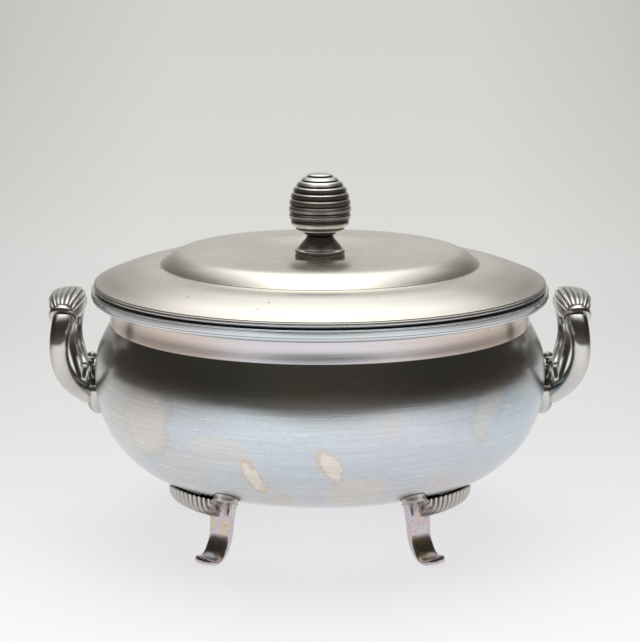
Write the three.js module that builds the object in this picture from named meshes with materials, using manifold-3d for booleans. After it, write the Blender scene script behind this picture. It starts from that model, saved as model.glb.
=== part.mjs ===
// A round pewter tureen on four shell-kneed feet, with two loop handles and a lift-off lid.
// Millimetres, +Z up. The origin is on the table, under the middle of the bowl.
// The handles lie along X, and the front of the tureen faces -Y.

import * as THREE from 'three';
import { mergeVertices } from 'three/addons/utils/BufferGeometryUtils.js';
import Module from 'manifold-3d';

const wasm = await Module();
wasm.setup();

// Bowl: its widest radius, the height of its underside and its depth up to the neck
const BOWL_RADIUS = 154.9;
const BOWL_UNDERSIDE_HEIGHT = 40.6;
const BOWL_DEPTH = 107.2;
const BOWL_WALL = 2.2;

// Neck band, a plain collar on the shoulder of the bowl, a little narrower than it
const NECK_INSET = 11;
const NECK_RADIUS = BOWL_RADIUS - NECK_INSET;
const NECK_HEIGHT = 14;
const NECK_WALL = 2.2;
const NECK_WAIST = 0.3;

// Rim moulding on top of the neck, which it overhangs
const RIM_OVERHANG = 12.3;
const RIM_RADIUS = NECK_RADIUS + RIM_OVERHANG;
const RIM_HEIGHT = 9.8;
const RIM_LIP = 2.8;

// Lid: a shallow flange that rises to a crease, then a low dome with a sunk middle
const LID_INSET = 2.3;
const LID_RADIUS = RIM_RADIUS - LID_INSET;
const LID_WALL = 2;
const LID_BAND_OVERHANG = 0.5;
const LID_BAND_RADIUS = LID_RADIUS + LID_BAND_OVERHANG;
const LID_BAND_HEIGHT = 2.4;
const LID_BAND_WIDTH = 8.4;
const LID_EDGE_GAP = 0.4;
const LID_BEAD = 1.6;
const FLANGE_RISE = 11.4;
const CREASE_RADIUS = 109;
const CREASE_STEP = 0.4;
const DOME_RISE = 10.5;
const DOME_CREST_RADIUS = 62;
const DISH_DEPTH = 6.1;
const DISH_RADIUS = 19.5;

// Locating ring under the lid, which keeps it in the neck
const BEZEL_CLEARANCE = 1.5;
const BEZEL_WALL = 1.6;
const BEZEL_REACH = 12;

// Finial: ringed egg on a waisted foot
const EGG_RADIUS = 21.3;
const EGG_TOP_HEIGHT = 25.2;
const EGG_BOTTOM_HEIGHT = 18;
const EGG_TOP_FULLNESS = 2.1;
const EGG_BOTTOM_FULLNESS = 2.6;
const EGG_RING_DEPTH = 1;
const EGG_RING_GROWTH = 1.235;
const EGG_RINGS = 9;
const EGG_CAP_RADIUS = 9;
const FINIAL_WAIST_RADIUS = 9.2;
const FINIAL_FOOT_RADIUS = 17.2;
const FINIAL_FOOT_RIM = 4;
const FINIAL_FOOT_HEIGHT = 13.4;

// Stud, washer and nut that hold the finial on the lid
const STUD_RADIUS = 2.5;
const STUD_REACH = 9;
const STUD_ENTRY = 30;
const STUD_CLEARANCE = 0.3;
const WASHER_RADIUS = 9;
const WASHER_THICKNESS = 1.4;
const NUT_RADIUS = 5.2;
const NUT_HEIGHT = 4.5;

// Handles: a loop of two arms that stands on a leaf-shaped root, with a fluted grip on top
const GRIP_RADIUS = 11.3;
const GRIP_WIDENING = 1.06;
const GRIP_END_RADIUS = 7.6;
const GRIP_HALF_LENGTH = 27;
const GRIP_FLUTES = 18;
const FLUTE_DEPTH = 0.7;
const COLLAR_RADIUS = 9.1;
const COLLAR_THICKNESS = 3.2;
const COLLAR_ROUND = 1.2;
const ARM_RADIUS = 5.9;
const ARM_ROOT_RADIUS = 5.3;
const LOOP_REACH = 20.9;
const LOOP_HALF_WIDTH = 38.2;
const GRIP_DROP = 12.6;
const LOOP_HEIGHT = 64;
const ROOT_DROP = 71.6;
const ROOT_LENGTH = 19.5;
const ROOT_HALF_WIDTH = 9;
const ROOT_THICKNESS = 13.1;
const ROOT_DEPTH = 16;
const BUD_HEIGHT = 23;
const BUD_RADIUS = 5.4;
const BUD_LEAN = 9;
const BUD_STAND_OFF = 0.7;

// Feet: a tongue-shaped leg under a fluted shell, four of them
const FOOT_ANGLE = 48;
const LEG_RADIUS_AT_WAIST = 97.8;
const LEG_HALF_WIDTH = 8.7;
const LEG_HALF_THICKNESS = 3.3;
const TOE_REACH = 21.2;
const SOLE_CUT = 0.6;
const SHELL_HALF_WIDTH = 32;
const SHELL_DROP = 10.4;
const SHELL_HEIGHT = 19;
const SHELL_STAND_OFF = 2;
const SHELL_FLARE = 13.2;
const SHELL_BULGE = 10;
const SHELL_FULLNESS = 2.4;
const SHELL_DEPTH = 6;
const SHELL_BACK_SHARE = 0.5;
const SHELL_WALL = 2;
const SHELL_RIBS = 11;
const RIB_DEPTH = 1;

// Gaps: a soldered seam that two turned faces share, and one between fitted or cut pieces
const SEAM_GAP = 0.1;
const FIT_GAP = 0.3;

// The softened corner of a thin edge
const EDGE_ROUND = 0.5;

// Facets round the large turned pieces and round the finial
const TURNED_SEGMENTS = 40;
const FINIAL_SEGMENTS = 20;

// Heights that follow from the sizes above
const NECK_BASE = BOWL_UNDERSIDE_HEIGHT + BOWL_DEPTH;
const RIM_BASE = NECK_BASE + NECK_HEIGHT;
const RIM_TOP = RIM_BASE + RIM_HEIGHT;
const LID_SEAT = RIM_TOP + FIT_GAP;
const LID_EDGE = LID_SEAT + LID_EDGE_GAP + LID_BAND_HEIGHT;
const CREASE_HEIGHT = LID_EDGE + LID_BEAD + FLANGE_RISE;
const DOME_TOP = CREASE_HEIGHT + DOME_RISE;
const DISH_HEIGHT = DOME_TOP - DISH_DEPTH;
const MOUTH_RADIUS = NECK_RADIUS - NECK_WALL;
const LOOP_TOP = RIM_TOP - GRIP_DROP;
const LOOP_BOTTOM = LOOP_TOP - LOOP_HEIGHT;
const ROOT_TOP = RIM_TOP - ROOT_DROP;
const FINIAL_BASE = DISH_HEIGHT + SEAM_GAP;
const FINIAL_WAIST = FINIAL_BASE + FINIAL_FOOT_HEIGHT;
const EGG_MIDDLE = FINIAL_WAIST + SEAM_GAP + EGG_BOTTOM_HEIGHT;

const tau = Math.PI * 2;

// Materials

function pewter(color, roughness) {
  return new THREE.MeshStandardMaterial({ color, roughness, metalness: 1 });
}

const bowlPewter = pewter(0xc4ccd0, 0.32);
const neckPewter = pewter(0xcdc3c6, 0.28);
const lidPewter = pewter(0xbcb9ae, 0.36);
const castPewter = pewter(0x9d9c96, 0.3);
const finialPewter = pewter(0x8b8a82, 0.3);
const brass = new THREE.MeshStandardMaterial({ color: 0xb59a5a, roughness: 0.4, metalness: 1 });

// Shared geometry helpers

function named(name, geometry, material) {
  const mesh = new THREE.Mesh(geometry, material);
  mesh.name = name;
  return mesh;
}

// Turns a list of [radius, height] round the Z axis
function turned(profile, segments = TURNED_SEGMENTS) {
  const points = profile.map(([radius, height]) => new THREE.Vector2(radius, height));
  return new THREE.LatheGeometry(points, segments).rotateX(Math.PI / 2);
}

// A ring's outline starts and ends on the same point
function turnedRing(profile, segments) {
  return turned([...profile, profile[0]], segments);
}

function samples(count) {
  return Array.from({ length: count + 1 }, (unused, index) => index / count);
}

function mix(from, to, share) {
  return from + (to - from) * share;
}

function smoothStep(share) {
  const clamped = Math.min(Math.max(share, 0), 1);
  return clamped * clamped * (3 - 2 * clamped);
}

// Joins closed rows of points into one closed body, with a flat fan on each end
function loft(rows) {
  const count = rows[0].length;
  const points = rows.flat();
  const indices = [];
  for (let row = 0; row < rows.length - 1; row += 1) {
    for (let step = 0; step < count; step += 1) {
      const next = (step + 1) % count;
      const a = row * count + step;
      const b = row * count + next;
      indices.push(a, b, a + count, b, b + count, a + count);
    }
  }
  [0, rows.length - 1].forEach((row) => {
    const middle = new THREE.Vector3();
    rows[row].forEach((point) => middle.addScaledVector(point, 1 / count));
    const hub = points.push(middle) - 1;
    for (let step = 0; step < count; step += 1) {
      const a = row * count + step;
      const b = row * count + ((step + 1) % count);
      indices.push(...(row === 0 ? [hub, b, a] : [hub, a, b]));
    }
  });
  const geometry = new THREE.BufferGeometry().setFromPoints(points);
  geometry.setIndex(signedVolume(points, indices) < 0 ? indices.reverse() : indices);
  return geometry;
}

function signedVolume(points, indices) {
  let volume = 0;
  const across = new THREE.Vector3();
  for (let index = 0; index < indices.length; index += 3) {
    across.crossVectors(points[indices[index + 1]], points[indices[index + 2]]);
    volume += points[indices[index]].dot(across) / 6;
  }
  return volume;
}

// Rows of points round a curve, each an ellipse that lies square to the curve
function sweep(curve, from, to, steps, segments, outline) {
  return loft(samples(steps).map((share) => {
    const at = mix(from, to, share);
    const centre = curve.getPointAt(at);
    const tangent = curve.getTangentAt(at);
    const across = new THREE.Vector3(1, 0, 0).addScaledVector(tangent, -tangent.x).normalize();
    const along = new THREE.Vector3().crossVectors(tangent, across);
    return samples(segments).slice(0, -1).map((turn) => {
      const [width, depth] = outline(share, turn);
      return centre.clone()
        .addScaledVector(across, width * Math.cos(turn * tau))
        .addScaledVector(along, depth * Math.sin(turn * tau));
    });
  }));
}

// Booleans

function toSolid(geometry) {
  const bare = geometry.clone();
  bare.deleteAttribute('normal');
  bare.deleteAttribute('uv');
  const merged = mergeVertices(bare, 1e-4);
  return new wasm.Manifold(new wasm.Mesh({
    numProp: 3,
    vertProperties: new Float32Array(merged.attributes.position.array),
    triVerts: new Uint32Array(merged.index.array),
  }));
}

function toGeometry(solid) {
  const mesh = solid.getMesh();
  const geometry = new THREE.BufferGeometry();
  geometry.setAttribute('position', new THREE.BufferAttribute(new Float32Array(mesh.vertProperties), 3));
  geometry.setIndex(new THREE.BufferAttribute(new Uint32Array(mesh.triVerts), 1));
  geometry.computeVertexNormals();
  return geometry;
}

// Bowl

// Shares of the widest radius and of the depth, from the middle of the underside to the neck
const BOWL_OUTLINE = [
  [0, 0], [0.3, 0.002], [0.52, 0.008], [0.64, 0.027], [0.736, 0.062], [0.814, 0.114], [0.881, 0.201],
  [0.93, 0.293], [0.969, 0.409], [0.995, 0.541], [1, 0.66], [0.993, 0.79], [0.972, 0.885],
];

function bowlCurve() {
  const points = BOWL_OUTLINE.map(([out, rise]) => (
    new THREE.Vector2(out * BOWL_RADIUS, BOWL_UNDERSIDE_HEIGHT + rise * BOWL_DEPTH)
  ));
  points.push(new THREE.Vector2(NECK_RADIUS, NECK_BASE - SEAM_GAP));
  return new THREE.SplineCurve(points);
}

// The bowl's outer outline, moved outwards by a distance that may be negative
function bowlOutline(offset, steps) {
  const curve = bowlCurve();
  return samples(steps).map((share) => {
    const point = curve.getPoint(share);
    const tangent = curve.getTangent(share);
    const radius = share === 0 ? 0 : point.x + tangent.y * offset;
    return [radius, share === 1 ? point.y : point.y - tangent.x * offset];
  });
}

function bowl() {
  const outside = bowlOutline(0, 15);
  const inside = bowlOutline(-BOWL_WALL, 10).reverse();
  return turned([...outside, ...inside]);
}

// A solid bowl, a little larger than the real one, that trims what is soldered to it. Its facets
// line up with the bowl's once the trimmed piece is turned to its place.
function bowlTrimmer(turn) {
  return toSolid(turned([...bowlOutline(FIT_GAP, 30), [0, NECK_BASE]]).rotateZ(-turn));
}

// Neck and rim

function neckBand() {
  return turnedRing([
    [MOUTH_RADIUS, NECK_BASE],
    [NECK_RADIUS, NECK_BASE],
    [NECK_RADIUS - NECK_WAIST, NECK_BASE + NECK_HEIGHT / 2],
    [NECK_RADIUS + NECK_WAIST, RIM_BASE - SEAM_GAP],
    [MOUTH_RADIUS, RIM_BASE - SEAM_GAP],
  ]);
}

function rimMoulding() {
  const bandBase = RIM_TOP - RIM_HEIGHT / 2;
  return turnedRing([
    [MOUTH_RADIUS, RIM_BASE],
    [NECK_RADIUS + NECK_WAIST, RIM_BASE],
    [mix(NECK_RADIUS, RIM_RADIUS, 0.25), bandBase - RIM_LIP * 0.9],
    [RIM_RADIUS - RIM_LIP, bandBase - RIM_LIP],
    [RIM_RADIUS - RIM_LIP * 0.35, bandBase - RIM_LIP * 0.65],
    [RIM_RADIUS, bandBase],
    [RIM_RADIUS, RIM_TOP - EDGE_ROUND],
    [RIM_RADIUS - EDGE_ROUND, RIM_TOP],
    [MOUTH_RADIUS, RIM_TOP],
  ]);
}

// Lid

// Shares of the way from the crease out to the edge, and of the flange's rise
const FLANGE_OUTLINE = [[0, 1], [0.14, 0.985], [0.32, 0.9], [0.52, 0.69], [0.72, 0.43], [0.92, 0.11]];

// The lid's outside, from its middle to its edge
function lidOutline(steps) {
  const dish = samples(steps).map((share) => [
    mix(DISH_RADIUS, DOME_CREST_RADIUS, share),
    DISH_HEIGHT + DISH_DEPTH * smoothStep(share),
  ]);
  const dome = samples(steps + 1).slice(1).map((share) => {
    const turn = share * Math.PI / 2;
    return [
      mix(DOME_CREST_RADIUS, CREASE_RADIUS, Math.sin(turn) ** 0.8),
      CREASE_HEIGHT + DOME_RISE * Math.cos(turn) ** 0.9,
    ];
  });
  const stride = steps > 3 ? 1 : 2;
  const flange = FLANGE_OUTLINE.filter((unused, index) => index % stride === 0).map(([out, rise]) => [
    mix(CREASE_RADIUS + CREASE_STEP, LID_RADIUS - LID_BEAD / 2, out),
    LID_EDGE + LID_BEAD + FLANGE_RISE * rise,
  ]);
  return [[0, DISH_HEIGHT], ...dish, ...dome, ...flange];
}

// The same outline, a wall lower, with the crease kept inside the metal
function lidUnderside() {
  return lidOutline(3).map(([radius, height]) => [
    radius > DOME_CREST_RADIUS ? radius - LID_WALL * (radius <= CREASE_RADIUS ? 0.5 : 0.2) : radius,
    height - LID_WALL,
  ]);
}

function lidCover() {
  const hole = STUD_RADIUS + STUD_CLEARANCE;
  const outside = lidOutline(4).slice(1).reverse();
  const inside = lidUnderside().slice(1);
  const inner = [[hole, DISH_HEIGHT - LID_WALL], ...inside];
  const bead = [
    [LID_RADIUS - LID_WALL, LID_EDGE],
    [LID_RADIUS - EDGE_ROUND, LID_EDGE],
    [LID_RADIUS, LID_EDGE + LID_BEAD * 0.45],
    [LID_RADIUS - EDGE_ROUND, LID_EDGE + LID_BEAD * 0.9],
  ];
  return turnedRing([...inner, ...bead, ...outside, [hole, DISH_HEIGHT]]);
}

function heightOn(outline, radius) {
  const found = outline.findIndex(([out], index) => index > 0 && out >= radius);
  const next = found < 0 ? outline.length - 1 : found;
  const [nearOut, nearHeight] = outline[next - 1];
  const [farOut, farHeight] = outline[next];
  return mix(nearHeight, farHeight, (radius - nearOut) / (farOut - nearOut));
}

// The applied band under the lid's edge, which rests on the rim
function lidBand() {
  const inner = LID_BAND_RADIUS - LID_BAND_WIDTH;
  const middle = LID_BAND_RADIUS - LID_BAND_WIDTH * 0.4;
  const top = LID_EDGE - SEAM_GAP;
  return turnedRing([
    [inner, LID_SEAT],
    [middle, LID_SEAT],
    [middle + EDGE_ROUND, LID_SEAT + LID_EDGE_GAP],
    [LID_BAND_RADIUS, LID_SEAT + LID_EDGE_GAP],
    [LID_BAND_RADIUS, top - EDGE_ROUND],
    [LID_BAND_RADIUS - EDGE_ROUND, top],
    [LID_RADIUS - LID_WALL - EDGE_ROUND, top],
    [inner, top + LID_BAND_HEIGHT / 2],
  ]);
}

function lidBezel() {
  const outer = MOUTH_RADIUS - BEZEL_CLEARANCE;
  const inner = outer - BEZEL_WALL;
  const under = lidUnderside();
  const bottom = RIM_TOP - BEZEL_REACH;
  return turnedRing([
    [inner, bottom],
    [outer - EDGE_ROUND, bottom],
    [outer, bottom + EDGE_ROUND],
    [outer, heightOn(under, outer) - SEAM_GAP],
    [inner, heightOn(under, inner) - SEAM_GAP],
  ]);
}

// Finial

function eggRadiusAt(height) {
  const above = height >= EGG_MIDDLE;
  const reach = above ? EGG_TOP_HEIGHT : EGG_BOTTOM_HEIGHT;
  const power = above ? EGG_TOP_FULLNESS : EGG_BOTTOM_FULLNESS;
  const share = Math.min(Math.abs(height - EGG_MIDDLE) / reach, 1);
  return EGG_RADIUS * Math.max(1 - share ** power, 0) ** (1 / power);
}

// Ring edges, from the waist up: the rings grow from the cap down
function ringEdges() {
  const top = EGG_MIDDLE + EGG_TOP_HEIGHT * 0.91;
  const bottom = EGG_MIDDLE - EGG_BOTTOM_HEIGHT * 0.96;
  return samples(EGG_RINGS).map((share) => mix(top, bottom, (1 - share) ** EGG_RING_GROWTH));
}

function eggOutline() {
  const edges = ringEdges();
  const rings = edges.slice(0, -1).flatMap((low, index) => {
    const high = edges[index + 1];
    return [0, 0.3, 0.7].map((share) => {
      const height = mix(low, high, share);
      return [eggRadiusAt(height) - (share === 0 ? EGG_RING_DEPTH : 0), height];
    });
  });
  const top = edges[edges.length - 1];
  return [
    [FINIAL_WAIST_RADIUS, FINIAL_WAIST + SEAM_GAP],
    ...rings,
    [EGG_CAP_RADIUS - EGG_RING_DEPTH, top],
    [EGG_CAP_RADIUS - EGG_RING_DEPTH * 0.6, mix(top, EGG_MIDDLE + EGG_TOP_HEIGHT, 0.4)],
    [EGG_CAP_RADIUS * 0.6, mix(top, EGG_MIDDLE + EGG_TOP_HEIGHT, 0.9)],
    [0, EGG_MIDDLE + EGG_TOP_HEIGHT],
  ];
}

function finialEgg() {
  const bore = STUD_RADIUS + STUD_CLEARANCE;
  const boreTop = FINIAL_BASE + STUD_ENTRY + STUD_CLEARANCE;
  return turned([
    [0, boreTop],
    [bore, boreTop],
    [bore, FINIAL_WAIST + SEAM_GAP],
    ...eggOutline(),
  ], FINIAL_SEGMENTS);
}

function finialFoot() {
  const bore = STUD_RADIUS + STUD_CLEARANCE;
  const rimTop = FINIAL_BASE + FINIAL_FOOT_RIM;
  const flare = samples(4).slice(1).map((share) => [
    mix(FINIAL_FOOT_RADIUS - EDGE_ROUND, FINIAL_WAIST_RADIUS, share ** 1.1),
    mix(rimTop, FINIAL_WAIST, share),
  ]);
  return turnedRing([
    [bore, FINIAL_BASE],
    [FINIAL_FOOT_RADIUS - EDGE_ROUND, FINIAL_BASE],
    [FINIAL_FOOT_RADIUS, FINIAL_BASE + FINIAL_FOOT_RIM * 0.25],
    [FINIAL_FOOT_RADIUS - EDGE_ROUND, FINIAL_BASE + FINIAL_FOOT_RIM * 0.5],
    [FINIAL_FOOT_RADIUS, FINIAL_BASE + FINIAL_FOOT_RIM * 0.75],
    [FINIAL_FOOT_RADIUS - EDGE_ROUND, rimTop],
    ...flare,
    [bore, FINIAL_WAIST],
  ], FINIAL_SEGMENTS);
}

const WASHER_TOP = DISH_HEIGHT - LID_WALL - SEAM_GAP;
const NUT_TOP = WASHER_TOP - WASHER_THICKNESS - SEAM_GAP;

function stud() {
  const bottom = DISH_HEIGHT - LID_WALL - STUD_REACH;
  return turned([
    [0, bottom],
    [STUD_RADIUS - EDGE_ROUND, bottom],
    [STUD_RADIUS, bottom + EDGE_ROUND],
    [STUD_RADIUS, FINIAL_BASE + STUD_ENTRY],
    [0, FINIAL_BASE + STUD_ENTRY],
  ], 12);
}

function washer() {
  const bottom = WASHER_TOP - WASHER_THICKNESS;
  return turnedRing([
    [STUD_RADIUS + STUD_CLEARANCE, bottom],
    [WASHER_RADIUS, bottom],
    [WASHER_RADIUS, WASHER_TOP],
    [STUD_RADIUS + STUD_CLEARANCE, WASHER_TOP],
  ], FINIAL_SEGMENTS);
}

function nut() {
  const bore = STUD_RADIUS + STUD_CLEARANCE;
  const shape = new THREE.Shape(samples(6).slice(0, -1).map((turn) => (
    new THREE.Vector2(NUT_RADIUS * Math.cos(turn * tau), NUT_RADIUS * Math.sin(turn * tau))
  )));
  shape.holes.push(new THREE.Path().absarc(0, 0, bore, 0, tau, true));
  const geometry = new THREE.ExtrudeGeometry(shape, {
    depth: NUT_HEIGHT,
    bevelEnabled: false,
    curveSegments: 12,
  });
  return geometry.translate(0, 0, NUT_TOP - NUT_HEIGHT);
}

// Handles, drawn on the +X side and turned half round for the other

// Shares of the loop's reach, half width and height, from the middle of the grip down to the root
const LOOP_OUTLINE = [
  [0.876, 0, 1], [0.876, 0.39, 0.994], [0.88, 0.66, 0.967], [0.895, 0.86, 0.9], [0.943, 0.965, 0.797],
  [0.986, 1, 0.688], [1, 1, 0.602], [0.971, 0.979, 0.484], [0.9, 0.929, 0.381], [0.775, 0.817, 0.273],
  [0.608, 0.597, 0.161], [0.416, 0.34, 0.066], [0.268, 0.157, 0],
];

// The whole loop, from the front root over the top to the rear root
function loopCurve() {
  const rear = LOOP_OUTLINE.map(([out, aside, rise]) => new THREE.Vector3(
    BOWL_RADIUS + out * LOOP_REACH,
    aside * LOOP_HALF_WIDTH,
    mix(LOOP_BOTTOM, LOOP_TOP, rise),
  ));
  const front = rear.slice(1).reverse().map((point) => new THREE.Vector3(point.x, -point.y, point.z));
  return new THREE.CatmullRomCurve3([...front, ...rear], false, 'centripetal');
}

const loop = loopCurve();
const loopLength = loop.getLength();

// A place on the loop, as a share of its length, at a distance from the middle of the grip
function loopShare(distance) {
  return 0.5 + distance / loopLength;
}

const COLLAR_START = GRIP_HALF_LENGTH + FIT_GAP;
const COLLAR_END = COLLAR_START + COLLAR_THICKNESS;
const ARM_START = COLLAR_END + FIT_GAP;

function grip() {
  const sides = GRIP_FLUTES * 2;
  const start = loopShare(-GRIP_HALF_LENGTH);
  const end = loopShare(GRIP_HALF_LENGTH);
  return sweep(loop, start, end, 6, sides, (share, turn) => {
    const swell = 1 - Math.abs(share * 2 - 1) ** 1.5;
    const groove = Math.round(turn * sides) % 2 === 0 ? 0 : FLUTE_DEPTH * mix(0.4, 1, swell);
    const radius = mix(GRIP_END_RADIUS, GRIP_RADIUS, swell) - groove;
    return [radius * mix(1, GRIP_WIDENING, swell), radius];
  });
}

function collar(side) {
  const start = loopShare(side * COLLAR_START);
  const end = loopShare(side * COLLAR_END);
  return sweep(loop, start, end, 3, 20, (share) => {
    const radius = COLLAR_RADIUS - COLLAR_ROUND * (share * 2 - 1) ** 2;
    return [radius, radius];
  });
}

function arm(side, turn) {
  const end = side > 0 ? 1 : 0;
  const swept = sweep(loop, loopShare(side * ARM_START), end, 13, 10, (share) => {
    const radius = mix(ARM_RADIUS, ARM_ROOT_RADIUS, smoothStep(share * 1.6 - 0.6));
    return [radius, radius * 1.04];
  });
  const reach = LOOP_HALF_WIDTH * 2;
  const ownSide = new THREE.BoxGeometry(reach, reach, reach)
    .translate(BOWL_RADIUS, side * (reach + FIT_GAP) / 2, LOOP_BOTTOM + reach / 2);
  return toSolid(swept)
    .intersect(toSolid(ownSide))
    .subtract(toSolid(rootBlock(FIT_GAP)))
    .subtract(bowlTrimmer(turn));
}

// Shares of the root's length, thickness and half width, from its top to its tip
const ROOT_OUTLINE = [
  [0, 0.78, 0.82], [0.2, 0.98, 1], [0.45, 0.9, 1], [0.7, 0.62, 0.9], [0.88, 0.38, 0.7], [1, 0.12, 0.34],
];

function rootBlock(growth) {
  return loft(ROOT_OUTLINE.map(([down, out, aside]) => {
    const height = ROOT_TOP + (down === 0 ? growth : 0) - down * (ROOT_LENGTH + growth);
    const inside = BOWL_RADIUS - ROOT_DEPTH;
    const outside = BOWL_RADIUS + out * ROOT_THICKNESS + growth;
    const half = aside * ROOT_HALF_WIDTH + growth;
    return samples(12).map((share) => {
      const turn = (share - 0.5) * Math.PI;
      return new THREE.Vector3(
        mix(inside, outside, Math.cos(turn) ** 0.7),
        half * Math.sin(turn),
        height,
      );
    });
  }));
}

function root(turn) {
  return toSolid(rootBlock(0)).subtract(bowlTrimmer(turn));
}

// Radius and height of the bud, as shares: a bell, a thin neck and a ball on top
const BUD_OUTLINE = [
  [0, 0], [1, 0], [1, 0.12], [0.93, 0.3], [0.7, 0.58], [0.72, 0.64], [0.34, 0.66], [0.32, 0.78],
  [0.44, 0.83], [0.48, 0.9], [0.36, 0.97], [0, 1],
];

function bud() {
  const profile = BUD_OUTLINE.map(([out, rise]) => [out * BUD_RADIUS, rise * BUD_HEIGHT]);
  const lean = THREE.MathUtils.degToRad(BUD_LEAN);
  const foot = ROOT_TOP + FIT_GAP + Math.sin(lean) * BUD_RADIUS;
  return turned(profile, 12)
    .rotateY(-lean)
    .translate(BOWL_RADIUS + BUD_RADIUS + BUD_STAND_OFF, 0, foot);
}

function handle(name, turn) {
  const group = new THREE.Group();
  group.rotation.z = turn;
  group.add(named(`${name}_grip`, grip(), castPewter));
  [['front', -1], ['rear', 1]].forEach(([place, side]) => {
    const worldSide = turn === 0 ? side : -side;
    group.add(named(`${name}_${place}_collar`, collar(worldSide), castPewter));
    group.add(named(`${name}_${place}_arm`, toGeometry(arm(worldSide, turn)), castPewter));
  });
  const trimmedBud = toSolid(bud()).subtract(bowlTrimmer(turn));
  group.add(named(`${name}_root_leaf`, toGeometry(root(turn)), castPewter));
  group.add(named(`${name}_bud`, toGeometry(trimmedBud), castPewter));
  return group;
}

// Feet, drawn in the plane of +X and turned to their places

// From the bowl down to the tip of the toe: the distance out from the waist as a share of the toe's
// reach, the height as a share of the bowl's height off the table, and the half width and half
// thickness as shares of the leg's own
const LEG_OUTLINE = [
  [0.02, 1.18, 1.45, 3], [-0.02, 0.98, 1.2, 2], [-0.04, 0.81, 1.05, 1.35], [-0.02, 0.64, 1, 1.1],
  [0.01, 0.48, 1, 1], [0.08, 0.345, 1.01, 0.97], [0.2, 0.225, 1.03, 0.93], [0.38, 0.125, 1.05, 0.88],
  [0.6, 0.082, 1, 0.8], [0.8, 0.11, 0.85, 0.66], [0.94, 0.15, 0.56, 0.5], [1, 0.18, 0.2, 0.3],
];

function legCurve() {
  return new THREE.CatmullRomCurve3(LEG_OUTLINE.map(([out, height]) => (
    new THREE.Vector3(LEG_RADIUS_AT_WAIST + out * TOE_REACH, 0, height * BOWL_UNDERSIDE_HEIGHT)
  )));
}

function legSize(share) {
  const at = share * (LEG_OUTLINE.length - 1);
  const low = Math.min(Math.floor(at), LEG_OUTLINE.length - 2);
  return [2, 3].map((column) => mix(LEG_OUTLINE[low][column], LEG_OUTLINE[low + 1][column], at - low));
}

function legSurface(growth) {
  const curve = legCurve();
  const side = new THREE.Vector3(0, 1, 0);
  return loft(samples(12).map((share) => {
    const centre = curve.getPoint(share);
    const tangent = curve.getTangent(share);
    const face = new THREE.Vector3().crossVectors(side, tangent);
    const [wide, thick] = legSize(share);
    return samples(12).slice(0, -1).map((turn) => {
      const cosine = Math.cos(turn * tau);
      const sine = Math.sin(turn * tau);
      const across = Math.sign(cosine) * Math.abs(cosine) ** 0.5 * (wide * LEG_HALF_WIDTH + growth);
      const out = Math.sign(sine) * Math.abs(sine) ** 0.7 * (thick * LEG_HALF_THICKNESS + growth);
      return centre.clone().addScaledVector(side, across).addScaledVector(face, out);
    });
  }));
}

function lowestPoint(geometry) {
  geometry.computeBoundingBox();
  return geometry.boundingBox.min.z;
}

const LEG_DROP = lowestPoint(legSurface(0)) + SOLE_CUT;

// The leg set down so far that the table cuts its sole flat
function legSolid(growth) {
  return toSolid(legSurface(growth).translate(0, 0, -LEG_DROP));
}

function leg(turn) {
  const reach = LEG_RADIUS_AT_WAIST + TOE_REACH;
  const table = new THREE.BoxGeometry(reach * 4, reach, reach).translate(0, 0, -reach / 2);
  return legSolid(0).subtract(toSolid(table)).subtract(bowlTrimmer(turn));
}

// Rows of the shell, from its hinge on the leg up to its rim under the bowl. Odd points of a ribbed
// row lie in the grooves.
function shellRows(rows, from, to, inset, steps) {
  const ribbed = steps === SHELL_RIBS * 2;
  return samples(rows).map((share) => {
    const rise = mix(from, to, share);
    const spread = 1 - Math.max(1 - rise, 0) ** SHELL_FULLNESS;
    const half = mix(LEG_HALF_WIDTH, SHELL_HALF_WIDTH, spread) - inset;
    const flank = LEG_RADIUS_AT_WAIST + SHELL_STAND_OFF + SHELL_FLARE * spread;
    const bulge = mix(SHELL_STAND_OFF, SHELL_BULGE, spread) - inset;
    const height = BOWL_UNDERSIDE_HEIGHT - SHELL_DROP + SHELL_HEIGHT * rise;
    const arc = samples(steps).map((along, index) => {
      const turn = (along - 0.5) * Math.PI;
      const groove = ribbed && index % 2 === 1 ? RIB_DEPTH : 0;
      return new THREE.Vector3(
        flank + (bulge - groove) * Math.cos(turn),
        (half - groove) * Math.sin(turn),
        height,
      );
    });
    const back = flank - SHELL_DEPTH - inset;
    arc.push(new THREE.Vector3(back, half * SHELL_BACK_SHARE, height));
    arc.push(new THREE.Vector3(back, -half * SHELL_BACK_SHARE, height));
    return arc;
  });
}

function shell(turn) {
  const outside = toSolid(loft(shellRows(5, 0, 1, 0, SHELL_RIBS * 2)));
  const pocket = toSolid(loft(shellRows(2, 0.35, 1.3, SHELL_WALL, 12)));
  return outside
    .subtract(pocket)
    .subtract(legSolid(FIT_GAP))
    .subtract(bowlTrimmer(turn));
}

function foot(name, degrees) {
  const group = new THREE.Group();
  const turn = THREE.MathUtils.degToRad(degrees);
  group.rotation.z = turn;
  group.add(named(`${name}_leg`, toGeometry(leg(turn)), castPewter));
  group.add(named(`${name}_shell`, toGeometry(shell(turn)), castPewter));
  return group;
}

// The tureen

const tureen = new THREE.Group();

tureen.add(named('bowl', bowl(), bowlPewter));
tureen.add(named('neck_band', neckBand(), neckPewter));
tureen.add(named('rim_moulding', rimMoulding(), bowlPewter));

tureen.add(handle('handle_right', 0));
tureen.add(handle('handle_left', Math.PI));

tureen.add(foot('foot_rear_right', FOOT_ANGLE));
tureen.add(foot('foot_rear_left', 180 - FOOT_ANGLE));
tureen.add(foot('foot_front_left', 180 + FOOT_ANGLE));
tureen.add(foot('foot_front_right', -FOOT_ANGLE));

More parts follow.
